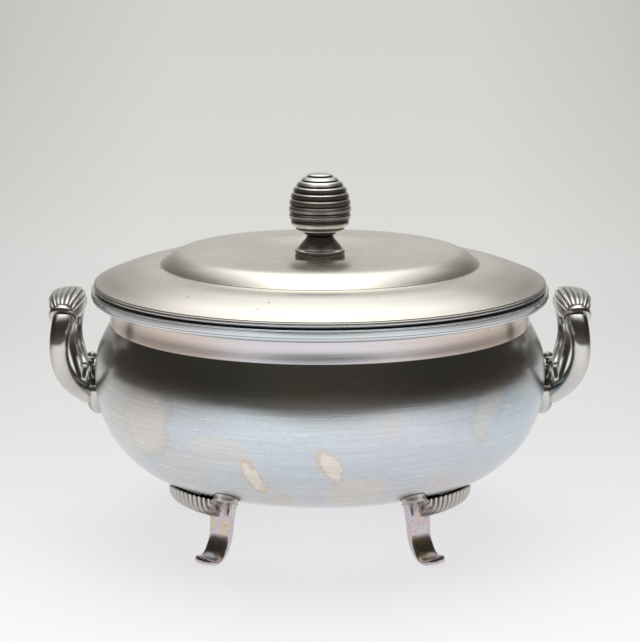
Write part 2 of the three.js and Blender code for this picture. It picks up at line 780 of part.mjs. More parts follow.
const lid = new THREE.Group();
lid.add(named('lid_cover', lidCover(), lidPewter));
lid.add(named('lid_edge_band', lidBand(), lidPewter));
lid.add(named('lid_bezel', lidBezel(), lidPewter));
lid.add(named('finial_egg', finialEgg(), finialPewter));
lid.add(named('finial_foot', finialFoot(), finialPewter));
lid.add(named('finial_stud', stud(), brass));
lid.add(named('finial_washer', washer(), brass));
lid.add(named('finial_nut', nut(), brass));
tureen.add(lid);

export default tureen;
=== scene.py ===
# %% [markdown]
# # A pewter tureen, dressed for its photograph
# This lesson dresses a plain CAD model of a round pewter tureen. The CAD pieces already have the
# right sizes and places, but they are coarse and have no finish. Each one is replaced by a fine
# mesh in the same place: turned pieces are spun from an outline, bent pieces are drawn along a
# line, and every piece gets pewter that is brushed, tarnished and worn as the real one is.

# %% Load the frame
import math

import bmesh
import bpy
from mathutils import Matrix, Vector


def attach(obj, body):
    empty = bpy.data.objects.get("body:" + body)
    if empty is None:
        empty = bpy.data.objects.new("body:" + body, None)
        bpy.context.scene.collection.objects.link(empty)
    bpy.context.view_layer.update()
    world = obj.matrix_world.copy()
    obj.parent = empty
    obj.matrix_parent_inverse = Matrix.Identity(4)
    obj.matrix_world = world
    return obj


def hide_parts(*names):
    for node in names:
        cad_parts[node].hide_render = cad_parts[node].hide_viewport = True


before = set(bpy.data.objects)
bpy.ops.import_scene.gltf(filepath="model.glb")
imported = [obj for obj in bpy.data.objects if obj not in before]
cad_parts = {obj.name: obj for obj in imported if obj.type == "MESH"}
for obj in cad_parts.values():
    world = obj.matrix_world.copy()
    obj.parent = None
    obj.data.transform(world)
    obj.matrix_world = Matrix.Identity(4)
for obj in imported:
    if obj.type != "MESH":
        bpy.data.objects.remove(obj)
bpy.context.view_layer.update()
scene = bpy.context.scene

# %% [markdown]
# ## Sizes
# The outlines below are drawn in millimetres, because that is how a pewterer would note them.
# Blender works in metres here, so each piece is scaled once, when it is finished.

# %% Sizes of the turned body, in millimetres
MM = 0.001
SEAM = 0.1
BOWL_RADIUS, BOWL_UNDERSIDE, BOWL_DEPTH, BOWL_WALL = 154.9, 40.6, 107.2, 2.2
NECK_RADIUS, NECK_BASE, MOUTH_RADIUS = 143.9, 147.8, 141.7
RIM_RADIUS, RIM_BASE, RIM_TOP = 156.2, 161.8, 171.6
LID_RADIUS, LID_SEAT, LID_EDGE, LID_WALL = 153.9, 171.9, 174.7, 2.0
CREASE_RADIUS, CREASE_HEIGHT, DOME_RISE, DOME_CREST = 109.0, 187.7, 10.5, 62.0
DISH_RADIUS, DISH_HEIGHT, DISH_DEPTH = 19.5, 192.1, 6.1
print("bowl", BOWL_RADIUS * 2, "mm across; rim at", RIM_TOP, "mm")

# %% [markdown]
# ## Lines
# A turned or bent form starts as a few points with a smooth line through them. The line is a
# Catmull-Rom spline, which passes through its points. With pull 0 the points count evenly, and
# with pull 0.5 the line can't overshoot where they stand close together.

# %% Helpers for lines
def mix(a, b, share):
    return a + (b - a) * share


def clamp(value, low=0.0, high=1.0):
    return min(max(value, low), high)


def smoothstep(low, high, value):
    share = clamp((value - low) / (high - low))
    return share * share * (3 - 2 * share)


def shares(count):
    return [index / count for index in range(count + 1)]


def spline(points, steps, pull=0.5, doubled_ends=False):
    """A smooth line through points, with so many steps between each two."""
    given = [Vector(p) for p in points]
    before = given[0] if doubled_ends else given[0] * 2 - given[1]
    after = given[-1] if doubled_ends else given[-1] * 2 - given[-2]
    padded = [before, *given, after]
    spans = [max((q - p).length, 1e-9) ** pull for p, q in zip(padded, padded[1:])]
    line = []
    for index, (a, b, c, d) in enumerate(zip(padded, padded[1:], padded[2:], padded[3:])):
        first, middle, last = spans[index:index + 3]
        leave = ((b - a) / first - (c - a) / (first + middle) + (c - b) / middle) * middle
        arrive = ((c - b) / middle - (d - b) / (middle + last) + (d - c) / last) * middle
        for t in shares(steps)[:-1]:
            line.append(b + leave * t + (c * 3 - b * 3 - leave * 2 - arrive) * t ** 2
                        + (b * 2 - c * 2 + leave + arrive) * t ** 3)
    return line + [given[-1]]


def offset(line, distance):
    """A flat line [radius, height], moved sideways: outwards for a positive distance."""
    moved = []
    for index, point in enumerate(line):
        ahead = line[min(index + 1, len(line) - 1)] - line[max(index - 1, 0)]
        side = Vector((ahead.y, -ahead.x)).normalized()
        moved.append(point + side * distance)
    return moved


def from_corner(radius, height, steps):
    """Points of an outline, given as steps out and up from a corner of it."""
    return [(radius + out, height + up) for out, up in steps]


def shade_and_dirt_at(count, places):
    """How dark each point of an outline is painted, as shade with some dirt, from the few points that have
    any.
    """
    return [places.get(index, 0.0) for index in range(count)]


print("half way from 0 to 10:", mix(0, 10, 0.5), "and three equal shares:", shares(3))

# %% [markdown]
# The bowl's outline comes first, because the handles and feet are fitted to it. Its points are
# shares of the radius and of the depth, so that the form stays the same at another size.

# %% The bowl's outline
BOWL_SHARES = [
    (0, 0), (0.3, 0.002), (0.52, 0.008), (0.64, 0.027), (0.736, 0.062), (0.814, 0.114), (0.881, 0.201),
    (0.93, 0.293), (0.969, 0.409), (0.995, 0.541), (1, 0.66), (0.993, 0.79), (0.972, 0.885),
]
bowl_points = [(out * BOWL_RADIUS, BOWL_UNDERSIDE + rise * BOWL_DEPTH) for out, rise in BOWL_SHARES]
bowl_line = spline(bowl_points + [(NECK_RADIUS, NECK_BASE - SEAM)], 8, pull=0, doubled_ends=True)
belly = max(range(len(bowl_line)), key=lambda index: bowl_line[index].x)


def bowl_height(radius):
    """The height of the bowl's outside at a radius, on its underside."""
    low = next(i for i in range(1, belly + 1) if bowl_line[i].x >= min(radius, bowl_line[belly].x))
    a, b = bowl_line[low - 1], bowl_line[low]
    return mix(a.y, b.y, clamp((radius - a.x) / (b.x - a.x)))


def bowl_radius(height):
    """The radius of the bowl's outside at a height."""
    high = next((i for i in range(1, len(bowl_line)) if bowl_line[i].y >= height), len(bowl_line) - 1)
    a, b = bowl_line[high - 1], bowl_line[high]
    return mix(a.x, b.x, clamp((height - a.y) / (b.y - a.y)))


print("bowl outline:", len(bowl_line), "points, widest at", round(bowl_line[belly].y, 1), "mm")

# %% [markdown]
# ## Materials
# All the metal is pewter, a soft grey alloy of tin. It is shown with a Principled shader at full
# metallic, whose colour comes from the film of tarnish and whose roughness comes from brushing.
# The helper below makes nodes with few words: inputs are given by name or number, as values or
# as the sockets of other nodes.

# %% Helpers for nodes
def new_material(name):
    material = bpy.data.materials.new(name)
    material.use_nodes = True
    material.node_tree.nodes.clear()
    return material


def add(tree, kind, inputs=None, out=0, **settings):
    """A new node with its settings and inputs, given back as one of its output sockets."""
    made = tree.nodes.new(kind)
    for key, value in settings.items():
        setattr(made, key, value)
    for key, value in (inputs or {}).items():
        socket = made.inputs[key]
        if isinstance(value, bpy.types.NodeSocket):
            tree.links.new(value, socket)
        else:
            socket.default_value = value
    return made.outputs[out]


def finish_material(tree, shader):
    output = tree.nodes.new("ShaderNodeOutputMaterial")
    tree.links.new(shader, output.inputs["Surface"])
    print("nodes:", len(tree.nodes))


def math_node(tree, operation, *values, capped=False):
    return add(tree, "ShaderNodeMath", dict(enumerate(values)), operation=operation, use_clamp=capped)


def ramp(tree, factor, stops, ease="LINEAR"):
    """Stops are (place, grey) or (place, (red, green, blue)), with or without an alpha."""
    socket = add(tree, "ShaderNodeValToRGB", {0: factor})
    scale = socket.node.color_ramp
    scale.interpolation = ease
    while len(scale.elements) < len(stops):
        scale.elements.new(0.5)
    for element, (place, tone) in zip(scale.elements, stops):
        element.position = place
        element.color = (*tone, 1)[:4] if isinstance(tone, tuple) else (tone, tone, tone, 1)
    return socket


def blend_colours(tree, factor, under, over, mode="MIX"):
    socket = add(tree, "ShaderNodeMix", {0: factor}, out=2, data_type="RGBA", blend_type=mode)
    for place, colour in ((6, under), (7, over)):
        if isinstance(colour, bpy.types.NodeSocket):
            tree.links.new(colour, socket.node.inputs[place])
        else:
            socket.node.inputs[place].default_value = (*colour, 1)
    return socket


def noise(tree, vector, scale, detail=3, roughness=0.5, out=0):
    return add(tree, "ShaderNodeTexNoise", {"Vector": vector, "Scale": scale, "Detail": detail,
                                            "Roughness": roughness}, out=out)


def along_outline(tree, scale):
    """Object coordinates, stretched, with the length of the outline in place of the height."""
    place = add(tree, "ShaderNodeTexCoord", out=3)
    x, y = (add(tree, "ShaderNodeSeparateXYZ", {0: place}, out=axis) for axis in (0, 1))
    along = add(tree, "ShaderNodeAttribute", out=2, attribute_name="along")
    bent = add(tree, "ShaderNodeCombineXYZ", {0: x, 1: y, 2: along})
    return add(tree, "ShaderNodeMapping", {"Vector": bent, "Scale": scale})


# %% [markdown]
# ### Pewter in general
# Four things show on old pewter: lines left by the lathe or the buff, a cloudy film, small pits
# and scratches, and dirt in the hollows. Lathe lines follow the outline, so turned pieces carry
# an attribute called along, the distance in millimetres along their outline. Cast pieces carry a
# second attribute, which is 1 at the bottom of a groove; there the colour is darkened as painted shade, with
# some dirt.

# %% Pewter as one function
# A dark colour for dirt in the pits, and for painted shade with some dirt in the grooves.
GRIME_AND_SHADE, SCRATCH = (0.10, 0.09, 0.075), (0.9, 0.9, 0.87)


def pewter(name, colour, tarnish, rough, grain="turned", film=None, anisotropy=0.0, grain_depth=1.6e-5,
           cloud_size=14, streaks=0.93, nicks=0.0):
    material = new_material(name)
    tree = material.node_tree
    place = add(tree, "ShaderNodeTexCoord", out=3)
    clouds = noise(tree, place, cloud_size, detail=5, roughness=0.62)
    patchy = ramp(tree, clouds, [(0.36, 0.0), (0.66, 1.0)], "EASE")
    surface = blend_colours(tree, patchy, colour, tarnish)
    if film:
        surface = film(tree, place, surface)
    if grain == "turned":
        lines = noise(tree, along_outline(tree, (18, 18, 0.6)), 1.0, detail=3, roughness=0.6)
        fine = noise(tree, along_outline(tree, (60, 60, 2.6)), 1.0, detail=2, roughness=0.6)
    else:
        lines = noise(tree, place, 260, detail=4, roughness=0.65)
        fine = noise(tree, place, 900, detail=2)
    pits = add(tree, "ShaderNodeTexVoronoi", {"Vector": place, "Scale": 75.0, "Randomness": 1.0})
    chosen = noise(tree, place, 21, detail=1)
    sparse = ramp(tree, chosen, [(0.56, 0.0), (0.6, 1.0)])
    pit = ramp(tree, pits, [(0.035, 1.0), (0.085, 0.0)])
    pitted = math_node(tree, "MULTIPLY", pit, sparse)
    surface = blend_colours(tree, math_node(tree, "MULTIPLY", pitted, 0.6), surface, GRIME_AND_SHADE)
    if nicks:
        flattened = add(tree, "ShaderNodeMapping", {"Vector": place, "Scale": (55, 55, 800)})
        nick = ramp(tree, noise(tree, flattened, 1.0, detail=1), [(0.69, 0.0), (0.74, nicks)])
        surface = blend_colours(tree, math_node(tree, "MULTIPLY", nick, patchy), surface, SCRATCH)
    # Grooves are darkened towards the dark colour: painted shade, with some dirt.
    dirt_and_shade = add(tree, "ShaderNodeAttribute", out=2, attribute_name="dirt_and_shade")
    surface = blend_colours(tree, dirt_and_shade, surface, GRIME_AND_SHADE)
    streak = ramp(tree, lines, [(0.3, streaks), (0.7, 1.0)])
    surface = blend_colours(tree, 1.0, surface, streak, "MULTIPLY")
    wear = math_node(tree, "MULTIPLY_ADD", fine, 0.10, rough - 0.05)
    dull = math_node(tree, "MULTIPLY_ADD", patchy, 0.05, wear)
    dirty = math_node(tree, "MULTIPLY_ADD", dirt_and_shade, 0.25, dull, capped=True)
    relief = math_node(tree, "ADD", lines, math_node(tree, "MULTIPLY", pitted, -1.5))
    normal = add(tree, "ShaderNodeBump", {"Strength": 1.0, "Distance": grain_depth, "Height": relief})
    inputs = {"Base Color": surface, "Metallic": 1.0, "Roughness": dirty, "Normal": normal}
    if anisotropy:
        inputs["Anisotropic"] = anisotropy
        inputs["Tangent"] = add(tree, "ShaderNodeTangent", direction_type="RADIAL", axis="Z")
    finish_material(tree, add(tree, "ShaderNodeBsdfPrincipled", inputs))
    return material


# %% [markdown]
# ### The film on the bowl
# Old pewter grows a thin film that turns it pale blue, lilac and cream, like oil on water. Where
# the bowl was wiped or touched it has let go in patches with crisp edges. Each patch is a ball in
# space, a few centimetres across, that colours the bowl where it cuts the surface. Noise bends
# its edge, so that it doesn't look round.

# %% Film patches
# Each row holds the centre and half sizes in metres, the tilt in degrees, the colours of the core
# and the fringe, the strength, and the softness of the edge.
CREAM, PALE, SAND = (0.76, 0.725, 0.66), (0.88, 0.83, 0.73), (0.72, 0.62, 0.50)
ROSE, GREY = (0.73, 0.665, 0.625), (0.64, 0.63, 0.61)
SKY, STONE = (0.58, 0.73, 0.84), (0.75, 0.735, 0.69)
BOWL_PATCHES = [
    ((-0.111, -0.108, 0.104), (0.019, 0.040, 0.030), 8, CREAM, GREY, 0.85, 0.05),
    ((-0.140, -0.070, 0.100), (0.030, 0.045, 0.040), 0, CREAM, CREAM, 0.6, 0.3),
    ((-0.0575, -0.136, 0.090), (0.020, 0.022, 0.008), 12, CREAM, STONE, 0.7, 0.2),
    ((-0.0405, -0.1393, 0.0744), (0.0052, 0.02, 0.0125), -32, PALE, SAND, 0.95, 0.09),
    ((0.0075, -0.150, 0.0825), (0.0078, 0.02, 0.0135), -30, PALE, SAND, 0.9, 0.06),
    ((0.022, -0.1375, 0.063), (0.0195, 0.02, 0.0125), -14, STONE, CREAM, 0.9, 0.06),
    ((0.045, -0.148, 0.112), (0.008, 0.02, 0.008), 20, ROSE, ROSE, 0.5, 0.25),
    ((0.106, -0.113, 0.113), (0.011, 0.03, 0.022), 14, STONE, GREY, 0.6, 0.15),
    ((0.0761, -0.1189, 0.0654), (0.006, 0.02, 0.009), 30, SAND, CREAM, 0.45, 0.25),
    ((0.122, -0.095, 0.103), (0.012, 0.02, 0.016), 0, SKY, SKY, 0.45, 0.3),
    ((-0.030, -0.137, 0.056), (0.012, 0.02, 0.006), -20, ROSE, SAND, 0.6, 0.15),
    ((-0.085, -0.120, 0.075), (0.018, 0.03, 0.012), -10, STONE, CREAM, 0.4, 0.3),
    ((0.10, 0.115, 0.095), (0.030, 0.04, 0.024), 0, CREAM, SAND, 0.8, 0.08),
    ((-0.07, 0.135, 0.085), (0.022, 0.03, 0.014), 20, PALE, SAND, 0.7, 0.04),
    ((0.02, 0.152, 0.12), (0.020, 0.03, 0.016), 0, ROSE, CREAM, 0.5, 0.2),
    ((-0.13, 0.06, 0.075), (0.030, 0.03, 0.024), 0, STONE, GREY, 0.6, 0.1),
    ((0.14, 0.02, 0.080), (0.030, 0.020, 0.016), 0, CREAM, SAND, 0.6, 0.06),
]


def warped(tree, place, scale, amount):
    """Coordinates pushed about by noise, for edges that wander."""
    push = noise(tree, place, scale, detail=4, roughness=0.6, out=1)
    centred = add(tree, "ShaderNodeVectorMath", {0: push, 1: (0.5, 0.5, 0.5)}, operation="SUBTRACT")
    scaled = add(tree, "ShaderNodeVectorMath", {0: centred, 3: amount}, operation="SCALE")
    return add(tree, "ShaderNodeVectorMath", {0: place, 1: scaled}, operation="ADD")


def bowl_film(tree, place, surface):
    """A blue belt and lilac clouds, then the patches, and a fine crust over it all."""
    height = add(tree, "ShaderNodeSeparateXYZ", {0: place}, out=2)
    wavy = math_node(tree, "MULTIPLY_ADD", noise(tree, place, 14, detail=3), 0.05, height)
    belt = [(0.42, 0.0), (0.54, 0.75), (0.66, 0.75), (0.80, 0.0)]
    blue = ramp(tree, math_node(tree, "MULTIPLY", wavy, 5.0), belt, "EASE")
    surface = blend_colours(tree, blue, surface, (0.63, 0.73, 0.79))
    lilac = ramp(tree, noise(tree, place, 9, detail=2), [(0.42, 0.0), (0.62, 0.4)], "EASE")
    surface = blend_colours(tree, lilac, surface, (0.68, 0.69, 0.73))
    moved = warped(tree, warped(tree, place, 45, 0.022), 260, 0.005)
    for centre, half_sizes, tilt, core, fringe, strength, softness in BOWL_PATCHES:
        local = add(tree, "ShaderNodeMapping", {
            "Vector": moved, "Location": centre, "Scale": half_sizes,
            "Rotation": (0, math.radians(tilt), 0)}, vector_type="TEXTURE")
        distance = add(tree, "ShaderNodeVectorMath", {0: local}, out=1, operation="LENGTH")
        patch = ramp(tree, math_node(tree, "MULTIPLY", distance, 0.6), [
            (0.0, (*core, strength)), (max(0.46 - softness, 0.02), (*core, strength)),
            (0.56, (*fringe, strength)), (0.6 + softness, (*fringe, 0.0))])
        surface = blend_colours(tree, patch.node.outputs[1], surface, patch)
    crust = ramp(tree, noise(tree, place, 420, detail=3, roughness=0.7), [(0.35, 0.93), (0.65, 1.0)])
    return blend_colours(tree, 1.0, surface, crust, "MULTIPLY")


def neck_film_and_reflection(tree, place, surface):
    """Lilac in front and behind, peach towards the handles: the film is real, and its peach is a painted
    reflection tint, set by place instead of by the view.
    """
    aside = math_node(tree, "ABSOLUTE", add(tree, "ShaderNodeSeparateXYZ", {0: place}, out=0))
    bent = math_node(tree, "MULTIPLY_ADD", noise(tree, place, 18, detail=2), 0.05, aside)
    near_handles = math_node(tree, "MULTIPLY", bent, 6.0, capped=True)
    peach_reflection = ramp(tree, near_handles, [(0.3, 0.0), (0.82, 1.0)], "EASE")
    return blend_colours(tree, peach_reflection, surface, (0.74, 0.62, 0.53))


def toe_film(tree, place, surface):
    """Straw, rose and violet where the legs were heated for soldering, with dark specks."""
    hues = [(0.36, (0.74, 0.64, 0.38)), (0.44, (0.80, 0.56, 0.49)), (0.52, (0.66, 0.59, 0.73)),
            (0.62, (0.72, 0.72, 0.70))]
    tint = ramp(tree, noise(tree, place, 95, detail=3), hues, "EASE")
    surface = blend_colours(tree, 0.6, surface, tint)
    specks = ramp(tree, noise(tree, place, 520, detail=2), [(0.62, 0.0), (0.7, 0.7)])
    return blend_colours(tree, specks, surface, (0.22, 0.2, 0.16))


# %% The finishes
finish = {
    "bowl": pewter("pewter_bowl", (0.69, 0.72, 0.73), (0.71, 0.715, 0.70), 0.19, film=bowl_film,
                   anisotropy=0.35, grain_depth=2.0e-5, streaks=0.88, nicks=0.7),
    "neck": pewter("pewter_neck", (0.66, 0.64, 0.67), (0.68, 0.66, 0.65), 0.17, film=neck_film_and_reflection,
                   anisotropy=0.3, nicks=0.7),
    "rim": pewter("pewter_rim", (0.70, 0.76, 0.80), (0.74, 0.75, 0.74), 0.17),
    "lid": pewter("pewter_lid", (0.71, 0.69, 0.62), (0.75, 0.71, 0.65), 0.25, anisotropy=0.35,
                  grain_depth=1.5e-6, streaks=0.975),
    "band": pewter("pewter_band", (0.62, 0.64, 0.66), (0.68, 0.66, 0.62), 0.2),
    "cast": pewter("pewter_cast", (0.68, 0.67, 0.64), (0.62, 0.60, 0.56), 0.16, grain="cast",
                   grain_depth=6e-6),
    "leg": pewter("pewter_leg", (0.68, 0.66, 0.62), (0.64, 0.60, 0.57), 0.19, grain="cast",
                  film=toe_film, grain_depth=6e-6),
    "finial": pewter("pewter_finial", (0.72, 0.71, 0.67), (0.66, 0.64, 0.59), 0.2, grain_depth=5e-6,
                     cloud_size=60),
}

# %% [markdown]
# ### Brass
# The stud, washer and nut inside the lid are plain yellow brass with brown clouds of tarnish.
# They are small and hidden, so a few noise textures are enough.

# %% Brass
def brass():
    material = new_material("brass_hardware")
    tree = material.node_tree
    place = add(tree, "ShaderNodeTexCoord", out=3)
    dark = ramp(tree, noise(tree, place, 180, detail=4), [(0.4, 0.0), (0.7, 0.8)])
    colour = blend_colours(tree, dark, (0.72, 0.55, 0.26), (0.36, 0.25, 0.12))
    rough = math_node(tree, "MULTIPLY_ADD", noise(tree, place, 700), 0.2, 0.25)
    grain = noise(tree, place, 1200)
    normal = add(tree, "ShaderNodeBump", {"Strength": 1.0, "Distance": 1e-5, "Height": grain})
    finish_material(tree, add(tree, "ShaderNodeBsdfPrincipled", {
        "Base Color": colour, "Metallic": 1.0, "Roughness": rough, "Normal": normal}))
    return material


finish["brass"] = brass()

# %% [markdown]
# ## Making pieces
# A turned piece is one outline spun round the upright axis. A drawn piece is a ring that is
# extruded again and again, each new ring moved to its station along a line. Both are then
# cleaned, scaled to metres and handed over by the same function.

# %% From a mesh to a finished piece
SMOOTH_ANGLE = 38


def verts_in(geom):
    return [item for item in geom if isinstance(item, bmesh.types.BMVert)]


def to_object(name, bm, material):
    """Makes a mesh that was built with operators an object of the scene."""
    mesh = bpy.data.meshes.new(name)
    bm.to_mesh(mesh)
    bm.free()
    mesh.materials.append(material)
    made = bpy.data.objects.new(name, mesh)
    scene.collection.objects.link(made)
    return made


def finished(name, bm, body, node, material, sharp=SMOOTH_ANGLE):
    """Cleans a mesh drawn in millimetres and makes it the piece that stands for a CAD node."""
    bmesh.ops.remove_doubles(bm, verts=bm.verts, dist=1e-4)
    bmesh.ops.dissolve_degenerate(bm, edges=bm.edges, dist=1e-4)
    bmesh.ops.recalc_face_normals(bm, faces=bm.faces)
    for face in bm.faces:
        face.smooth = True
    for edge in bm.edges:
        edge.smooth = edge.is_manifold and edge.calc_face_angle(0.0) < math.radians(sharp)
    open_edges = sum(1 for edge in bm.edges if not edge.is_manifold)
    bmesh.ops.scale(bm, vec=(MM, MM, MM), verts=bm.verts)
    piece = to_object(name, bm, material)
    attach(piece, body)
    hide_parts(node)
    print(name, "faces:", len(piece.data.polygons), "open edges:", open_edges)


# %% Turned pieces
def spun(outline, segments=192, dirt_and_shade=None):
    """A closed outline [radius, height] turned round the upright axis. It carries its own length."""
    bm = bmesh.new()
    along = bm.verts.layers.float.new("along")
    deep = bm.verts.layers.float.new("dirt_and_shade")
    ring, travelled, last = [], 0.0, None
    for index, (radius, height) in enumerate(outline):
        vert = bm.verts.new((max(radius, 0.0), 0, height))
        travelled += (vert.co - last).length if last else 0.0
        vert[along] = travelled
        vert[deep] = dirt_and_shade[index] if dirt_and_shade else 0.0
        last = vert.co.copy()
        ring.append(vert)
    edges = [bm.edges.new(pair) for pair in zip(ring, ring[1:])]
    if outline[0][0] > 0 or outline[-1][0] > 0:
        edges.append(bm.edges.new((ring[-1], ring[0])))
    bmesh.ops.spin(bm, geom=ring + edges, cent=(0, 0, 0), axis=(0, 0, 1), angle=math.tau,
                   steps=segments, use_merge=True, use_duplicate=False)
    return bm


# %% Drawn pieces
def drawn(stations, place, segments, dirt_and_shade=None):
    """A ring extruded through stations. place(station, turn) gives each point, turn runs 0 to 1."""
    bm = bmesh.new()
    turn = bm.verts.layers.float.new("turn")
    deep = bm.verts.layers.float.new("dirt_and_shade")
    ring = bmesh.ops.create_circle(bm, cap_ends=False, radius=1.0, segments=segments)["verts"]
    for index, vert in enumerate(ring):
        vert[turn] = index / segments
    edges = list(bm.edges)
    for number, station in enumerate(stations):
        if number:
            grown = bmesh.ops.extrude_edge_only(bm, edges=edges)["geom"]
            ring = verts_in(grown)
            edges = [item for item in grown if isinstance(item, bmesh.types.BMEdge)]
        for vert in ring:
            vert.co = place(station, vert[turn])
            vert[deep] = dirt_and_shade(station, vert[turn]) if dirt_and_shade else 0.0
    bmesh.ops.holes_fill(bm, edges=bm.edges, sides=0)
    return bm


# %% Rounded corners
ARC_STEPS = 3


def rounded(points, radius):
    """Corners of an outline cut back to arcs, as a file would, by one radius or by one for each."""
    sizes = radius if isinstance(radius, list) else [radius] * len(points)
    out = []
    for index, size in enumerate(sizes):
        before, at, after = (Vector(points[(index + k) % len(points)]) for k in (-1, 0, 1))
        reach = min(size, (before - at).length * 0.45, (after - at).length * 0.45)
        if reach < 0.01:
            out.append(at)
            continue
        start, end = at + (before - at).normalized() * reach, at + (after - at).normalized() * reach
        for t in shares(ARC_STEPS):
            out.append(start * (1 - t) ** 2 + at * (2 * t * (1 - t)) + end * t ** 2)
    return out


print("a square with rounded corners has", len(rounded([(0, 0), (4, 0), (4, 4), (0, 4)], 1)), "points")

# %% [markdown]
# ## The bowl
# The real bowl was spun from a sheet over a wooden form, so both sides follow one outline, a
# wall apart. The outline goes out along the underside, up to the neck, and back inside.

# %% Bowl
inner_line = offset(bowl_line, -BOWL_WALL)
inner_line[0] = Vector((0, BOWL_UNDERSIDE + BOWL_WALL))
inner_line[-1] = Vector((MOUTH_RADIUS, NECK_BASE - SEAM))
bowl_outline = [*bowl_line, *reversed(inner_line)]
finished("tureen_bowl", spun(bowl_outline), "tureen", "bowl", finish["bowl"])

# %% [markdown]
# ## Neck and rim
# The neck is a plain band with a slight waist. The rim is a moulding: a thin bead on top, an
# upright band under it, a fine groove, and a soft lip that curls back in to the neck. The groove
# and the bead are what draw the thin lines in the photograph.

# %% Neck band
NECK_TOP = RIM_BASE - SEAM
neck_side = []
for t in shares(12):
    flare, waist = 0.3 * (2 * t - 1) ** 3, 0.5 * math.sin(math.pi * t)
    neck_side.append((NECK_RADIUS + flare - waist, mix(NECK_BASE, NECK_TOP, t)))
neck_outline = [(MOUTH_RADIUS, NECK_BASE), *neck_side, (MOUTH_RADIUS, NECK_TOP)]
finished("neck_collar", spun(neck_outline), "tureen", "neck_band", finish["neck"])

# %% Rim moulding
BAND_BASE = RIM_TOP - 4.9
LARGE_TURN = 224
lip = from_corner(NECK_RADIUS, RIM_BASE, [(0.3, 0), (1.2, 0.9), (4.5, 1.5)])
lip += from_corner(RIM_RADIUS, RIM_BASE, [(-4.4, 1.9), (-1.9, 2.6)])
groove = from_corner(RIM_RADIUS, BAND_BASE, [
    (-0.9, -1.2), (-0.6, -0.4), (-0.75, -0.15), (-0.4, 0.1), (-0.12, 0.6)])
bead = from_corner(RIM_RADIUS, RIM_TOP, [
    (-0.1, -1.2), (-0.25, -1.0), (-0.05, -0.8), (0, -0.44), (-0.3, -0.1), (-0.8, 0)])
mouth = from_corner(MOUTH_RADIUS, RIM_TOP, [(0.5, 0), (0, -0.5)])
rim_outline = [(MOUTH_RADIUS, RIM_BASE), *lip, *groove, *bead, *mouth]
rim = spun(rounded(rim_outline, 0.35), LARGE_TURN)
finished("rim_band", rim, "tureen", "rim_moulding", finish["rim"])

# %% [markdown]
# ## The lid
# The lid is a low dome in a shallow flange. A small step with a groove marks where they meet,
# and a rolled bead stiffens the edge. Its underside is the same outline, a wall lower.

# %% Lid cover
FLANGE_SHARES = [(0, 1), (0.14, 0.985), (0.32, 0.9), (0.52, 0.7), (0.72, 0.45), (0.9, 0.17), (1, 0.03)]
FLANGE_BASE, FLANGE_RISE = LID_EDGE + 1.6, 11.4
LEVEL_SHARE, LEVEL_SLOPE, CREASE_SLOPE = 0.7, 0.18, 0.92
STUD_HOLE = 2.8
dish = [Vector((mix(DISH_RADIUS, DOME_CREST, t), DISH_HEIGHT + DISH_DEPTH * (1 - (1 - t * t) ** 1.6)))
        for t in shares(24)]


def dome_slope(share):
    """Nearly level in the middle, then steeper and steeper towards the crease."""
    if share < LEVEL_SHARE:
        return LEVEL_SLOPE * (share / LEVEL_SHARE) ** 2
    return mix(LEVEL_SLOPE, CREASE_SLOPE, ((share - LEVEL_SHARE) / (1 - LEVEL_SHARE)) ** 0.85)


dome_shares = shares(32)
drops = [0.0]
for near, far in zip(dome_shares, dome_shares[1:]):
    drops.append(drops[-1] + (dome_slope(near) + dome_slope(far)) / 2)
dome = []
for t, drop in zip(dome_shares[1:], drops[1:]):
    height = CREASE_HEIGHT + DOME_RISE * (1 - drop / drops[-1])
    dome.append(Vector((mix(DOME_CREST, CREASE_RADIUS - 0.5, t), height)))
step = from_corner(CREASE_RADIUS, CREASE_HEIGHT, [(-0.45, -0.35), (0.1, -0.6), (0.75, -0.15)])
flange = spline([(mix(CREASE_RADIUS + 1.0, LID_RADIUS - 0.8, out), FLANGE_BASE + FLANGE_RISE * rise)
                 for out, rise in FLANGE_SHARES], 6)
roll = from_corner(LID_RADIUS, LID_EDGE, [
    (-0.4, 1.75), (-0.1, 1.45), (0, 1.15), (-0.14, 0.6), (-0.36, 0.1), (-0.8, 0)])
smooth_top = [Vector((STUD_HOLE, DISH_HEIGHT)), *dish, *dome, *flange]
lowered = [p for p in reversed(offset(smooth_top, LID_WALL)) if p.x < LID_RADIUS - 3.2 and p.y > LID_EDGE]
under = [Vector((LID_RADIUS - 3.0, LID_EDGE)), *lowered, Vector((STUD_HOLE, DISH_HEIGHT - LID_WALL))]
lid_outline = [smooth_top[0], *dish, *dome, *step, *flange, *roll, *under]
finished("lid_dome", spun(lid_outline, LARGE_TURN), "lid", "lid_cover", finish["lid"])

# %% [markdown]
# ## Edge band and bezel
# A band is soldered under the lid's edge and rests on the rim, and a deep ring inside it, the
# bezel, drops into the neck so that the lid can't slide off. Only the band shows when the
# tureen is closed; a thin dark gap under it is left by the wear of its seat.

# %% Lid edge band and bezel
BAND_RADIUS, BAND_WIDTH = 154.4, 8.4
band_top, band_seat = LID_EDGE - SEAM, LID_SEAT + 0.85
band_inner, band_middle = BAND_RADIUS - BAND_WIDTH, BAND_RADIUS - BAND_WIDTH * 0.4
edge_outline = [
    (band_inner, LID_SEAT), (band_middle, LID_SEAT), (band_middle + 0.5, band_seat),
    (BAND_RADIUS - 0.45, band_seat), (BAND_RADIUS, band_top - 0.4), (BAND_RADIUS - 0.5, band_top),
    (LID_RADIUS - LID_WALL - 0.5, band_top), (band_inner, band_top + 1.2),
]
edge_band = spun(rounded(edge_outline, 0.3), LARGE_TURN)
finished("lid_band", edge_band, "lid", "lid_edge_band", finish["band"])


def under_lid(radius):
    """The height at which a ring soldered under the lid ends, a seam below it."""
    return min(under, key=lambda point: abs(point.x - radius)).y - SEAM


